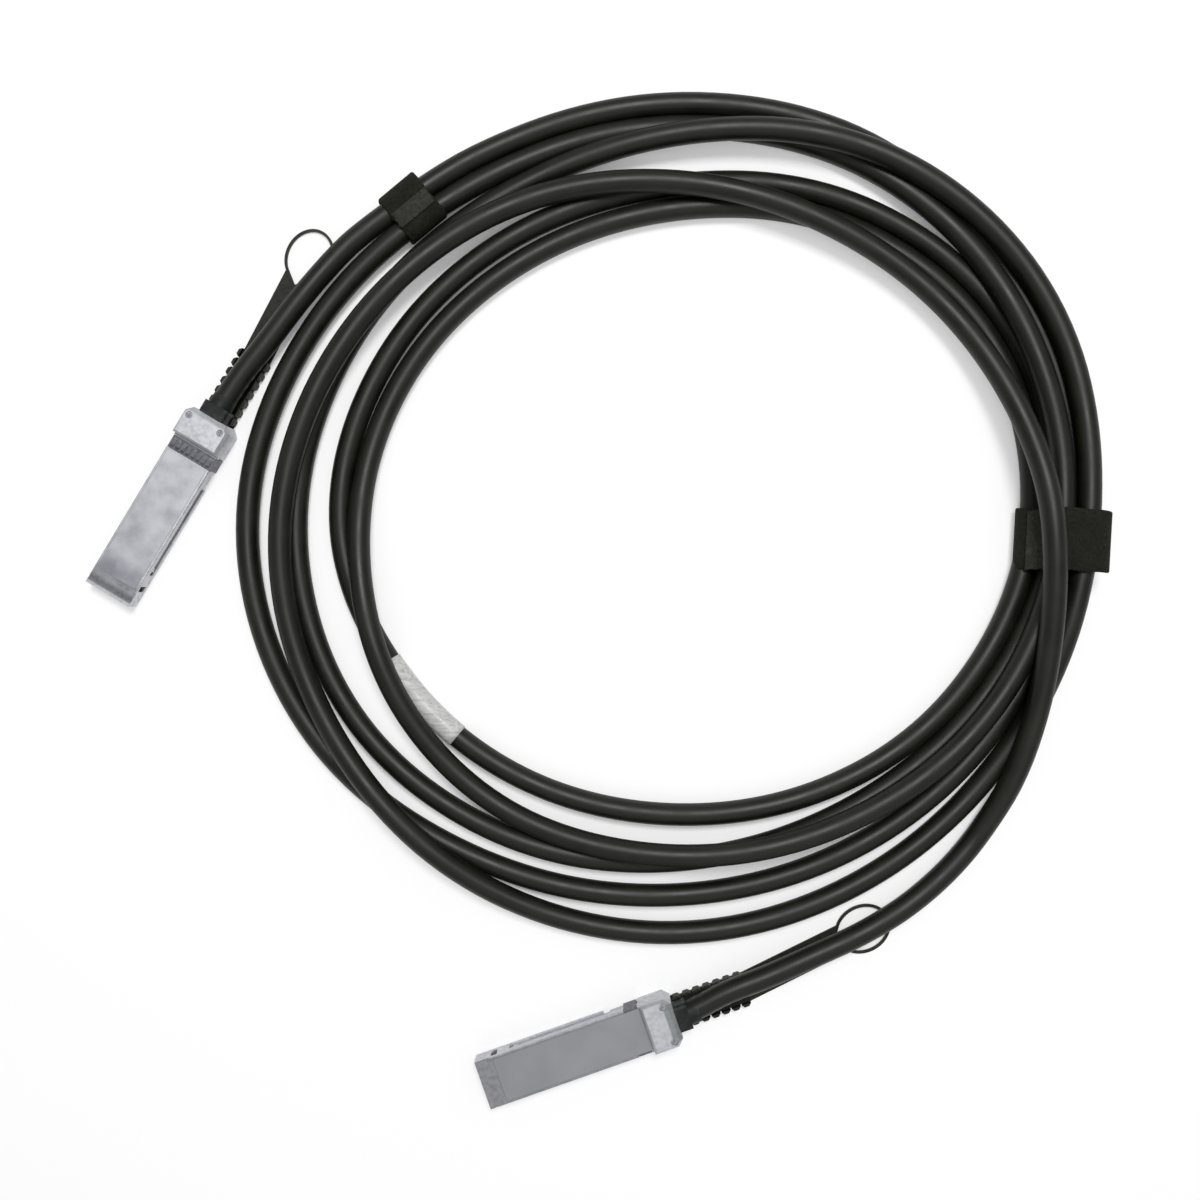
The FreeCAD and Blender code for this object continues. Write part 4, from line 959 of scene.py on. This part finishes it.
for k in (0, LABEL_ROWS - 1):
    for j in range(LABEL_STEPS):
        a, b = k * row + j, k * row + arc + j
        faces.append((a, a + 1, b + 1, b))
label = piece_from("wrap_label_film", verts, faces)
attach(label, ROOT)
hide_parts("cable_label")
print("label", len(faces), "faces")

# %% [markdown]
# The film is pale grey with fine streaks along the strand. A streak is noise that is squeezed
# across the strand and long along it, so the object's position is turned to the strand's direction
# and then scaled much more across than along. It only darkens the colour, and the film stays
# smooth.

# %% Finish of the wrap label
ALONG, ACROSS = 20, 1100
film = finish("wrap_label", colour(182, 183, 180), colour(196, 197, 194), 0.45, cloud=220,
              bump=0.05, coat=0.1)
tree = film.node_tree
turned = add(tree, "ShaderNodeMapping", {"Vector": own_place(tree),
                                         "Rotation": (0, 0, -math.radians(LABEL_DEGREE + 90)),
                                         "Scale": (ALONG, ACROSS, ACROSS)}).outputs[0]
streaks = noise(tree, turned, 1.0, detail=2.0)
surface = next(n for n in tree.nodes if n.type == "GROUP")
streaked = blend_colours(tree, rise(tree, streaks, 0.3, 0.55), colour(158, 159, 156),
                         surface.outputs["Colour"])
fill(tree, tree.nodes["Principled BSDF"], {"Base Color": streaked})
label.data.materials.append(film)
print("film on", label.name)

# %% [markdown]
# The object lies on a plain white table. The floor's shader is white paper to the lamps, so the
# object's shadow stays, while to the camera and to reflections part of it glows white, as a lit
# table in a studio does. That keeps the background clean without more light on the object. Where
# the cables hide the table, ambient occlusion takes the glow down, which paints shade into the
# narrow gaps between cables so that they stay dark. Far from the object, where no shadow falls,
# the glow takes over, so the table has no visible end.

# %% Floor
TABLE_HALF = 3.0
TABLE_DROP = 0.1 * MM               # below the plugs' undersides, as two faces in one place flicker
# the next four numbers set the painted shade: near cables, ambient occlusion takes the floor's glow
# down
PAINTED_SHADE_REACH = 14 * MM                 # how near a cable has to be to hide the table
PAINTED_SHADE_SAMPLES = 6
HIDDEN, OPEN = 0.08, 0.45           # share of the sky that such a spot sees
GLOW_HIDDEN, GLOW_OPEN = 0.08, 0.5  # share of glow there
FADE_FROM, FADE_TO = 0.4, 1.1       # metres from the middle, where the glow takes over

floor_mesh = bpy.data.meshes.new("floor")
corners = [(x * TABLE_HALF, y * TABLE_HALF, 0) for x, y in ((-1, -1), (1, -1), (1, 1), (-1, 1))]
floor_mesh.from_pydata(corners, [], [(0, 1, 2, 3)])
floor = bpy.data.objects.new("floor", floor_mesh)
floor.location.z = -TABLE_DROP
bpy.context.scene.collection.objects.link(floor)

paper, tree, _ = new_material("white_table")
tree.nodes.clear()
plain = add(tree, "ShaderNodeBsdfDiffuse", {"Color": (0.97, 0.97, 0.97, 1)}).outputs[0]
glow = add(tree, "ShaderNodeEmission", {"Color": (1, 1, 1, 1), "Strength": 1.0}).outputs[0]
path = add(tree, "ShaderNodeLightPath").outputs
seen = reckon(tree, "MAXIMUM", path["Is Camera Ray"], path["Is Glossy Ray"])
# ambient occlusion paints shade into the glow where cables hide the table
ao_for_painted_shade = add(tree, "ShaderNodeAmbientOcclusion", {"Distance": PAINTED_SHADE_REACH},
          samples=PAINTED_SHADE_SAMPLES).outputs["AO"]
away = add(tree, "ShaderNodeVectorMath", {0: own_place(tree)}, operation="LENGTH").outputs["Value"]
glowing = reckon(tree, "MAXIMUM", rise(tree, ao_for_painted_shade, HIDDEN, OPEN, GLOW_HIDDEN, GLOW_OPEN),
                 rise(tree, away, FADE_FROM, FADE_TO))
part = reckon(tree, "MULTIPLY", seen, glowing)
both = add(tree, "ShaderNodeMixShader", {0: part, 1: plain, 2: glow}).outputs[0]
add(tree, "ShaderNodeOutputMaterial", {"Surface": both})
floor_mesh.materials.append(paper)
print("floor made")

# %% [markdown]
# The light comes from nearly overhead, a little from the far side of the table, so round things
# shine in one thin line along their tops and cast a short soft shadow towards the near side. One
# lamp gives that line, a wide weak one fills from the near side, and an even white world does the
# rest. The camera alone sees that world as full white, so that it doesn't look grey behind the
# table.

# %% Light
WORLD_LIGHT, WORLD_SEEN = 0.42, 1.0


def soft_lamp(name, place, size, power):
    """A square lamp of a size in metres, turned to face the middle of the object."""
    data = bpy.data.lights.new(name, "AREA")
    data.shape = "SQUARE"
    data.size = size
    data.energy = power
    lamp = bpy.data.objects.new(name, data)
    lamp.location = place
    lamp.rotation_euler = (-Vector(place)).to_track_quat("-Z", "Y").to_euler()
    bpy.context.scene.collection.objects.link(lamp)


soft_lamp("key_lamp", (0.10, 0.45, 1.30), size=0.35, power=13)
soft_lamp("fill_lamp", (0.3, -1.0, 1.2), size=1.2, power=2.5)
world = bpy.data.worlds.new("studio")
world.use_nodes = True
tree = world.node_tree
camera_ray = add(tree, "ShaderNodeLightPath").outputs["Is Camera Ray"]
fill(tree, tree.nodes["Background"], {
    "Color": (1, 1, 1, 1), "Strength": rise(tree, camera_ray, 0.0, 1.0, WORLD_LIGHT, WORLD_SEEN)})
bpy.context.scene.world = world
bpy.context.scene.view_settings.view_transform = "Standard"
print("lamps", len(bpy.data.lights))

# %% [markdown]
# Last, the view layer is brought up to date.

# %% Update the scene
bpy.context.view_layer.update()
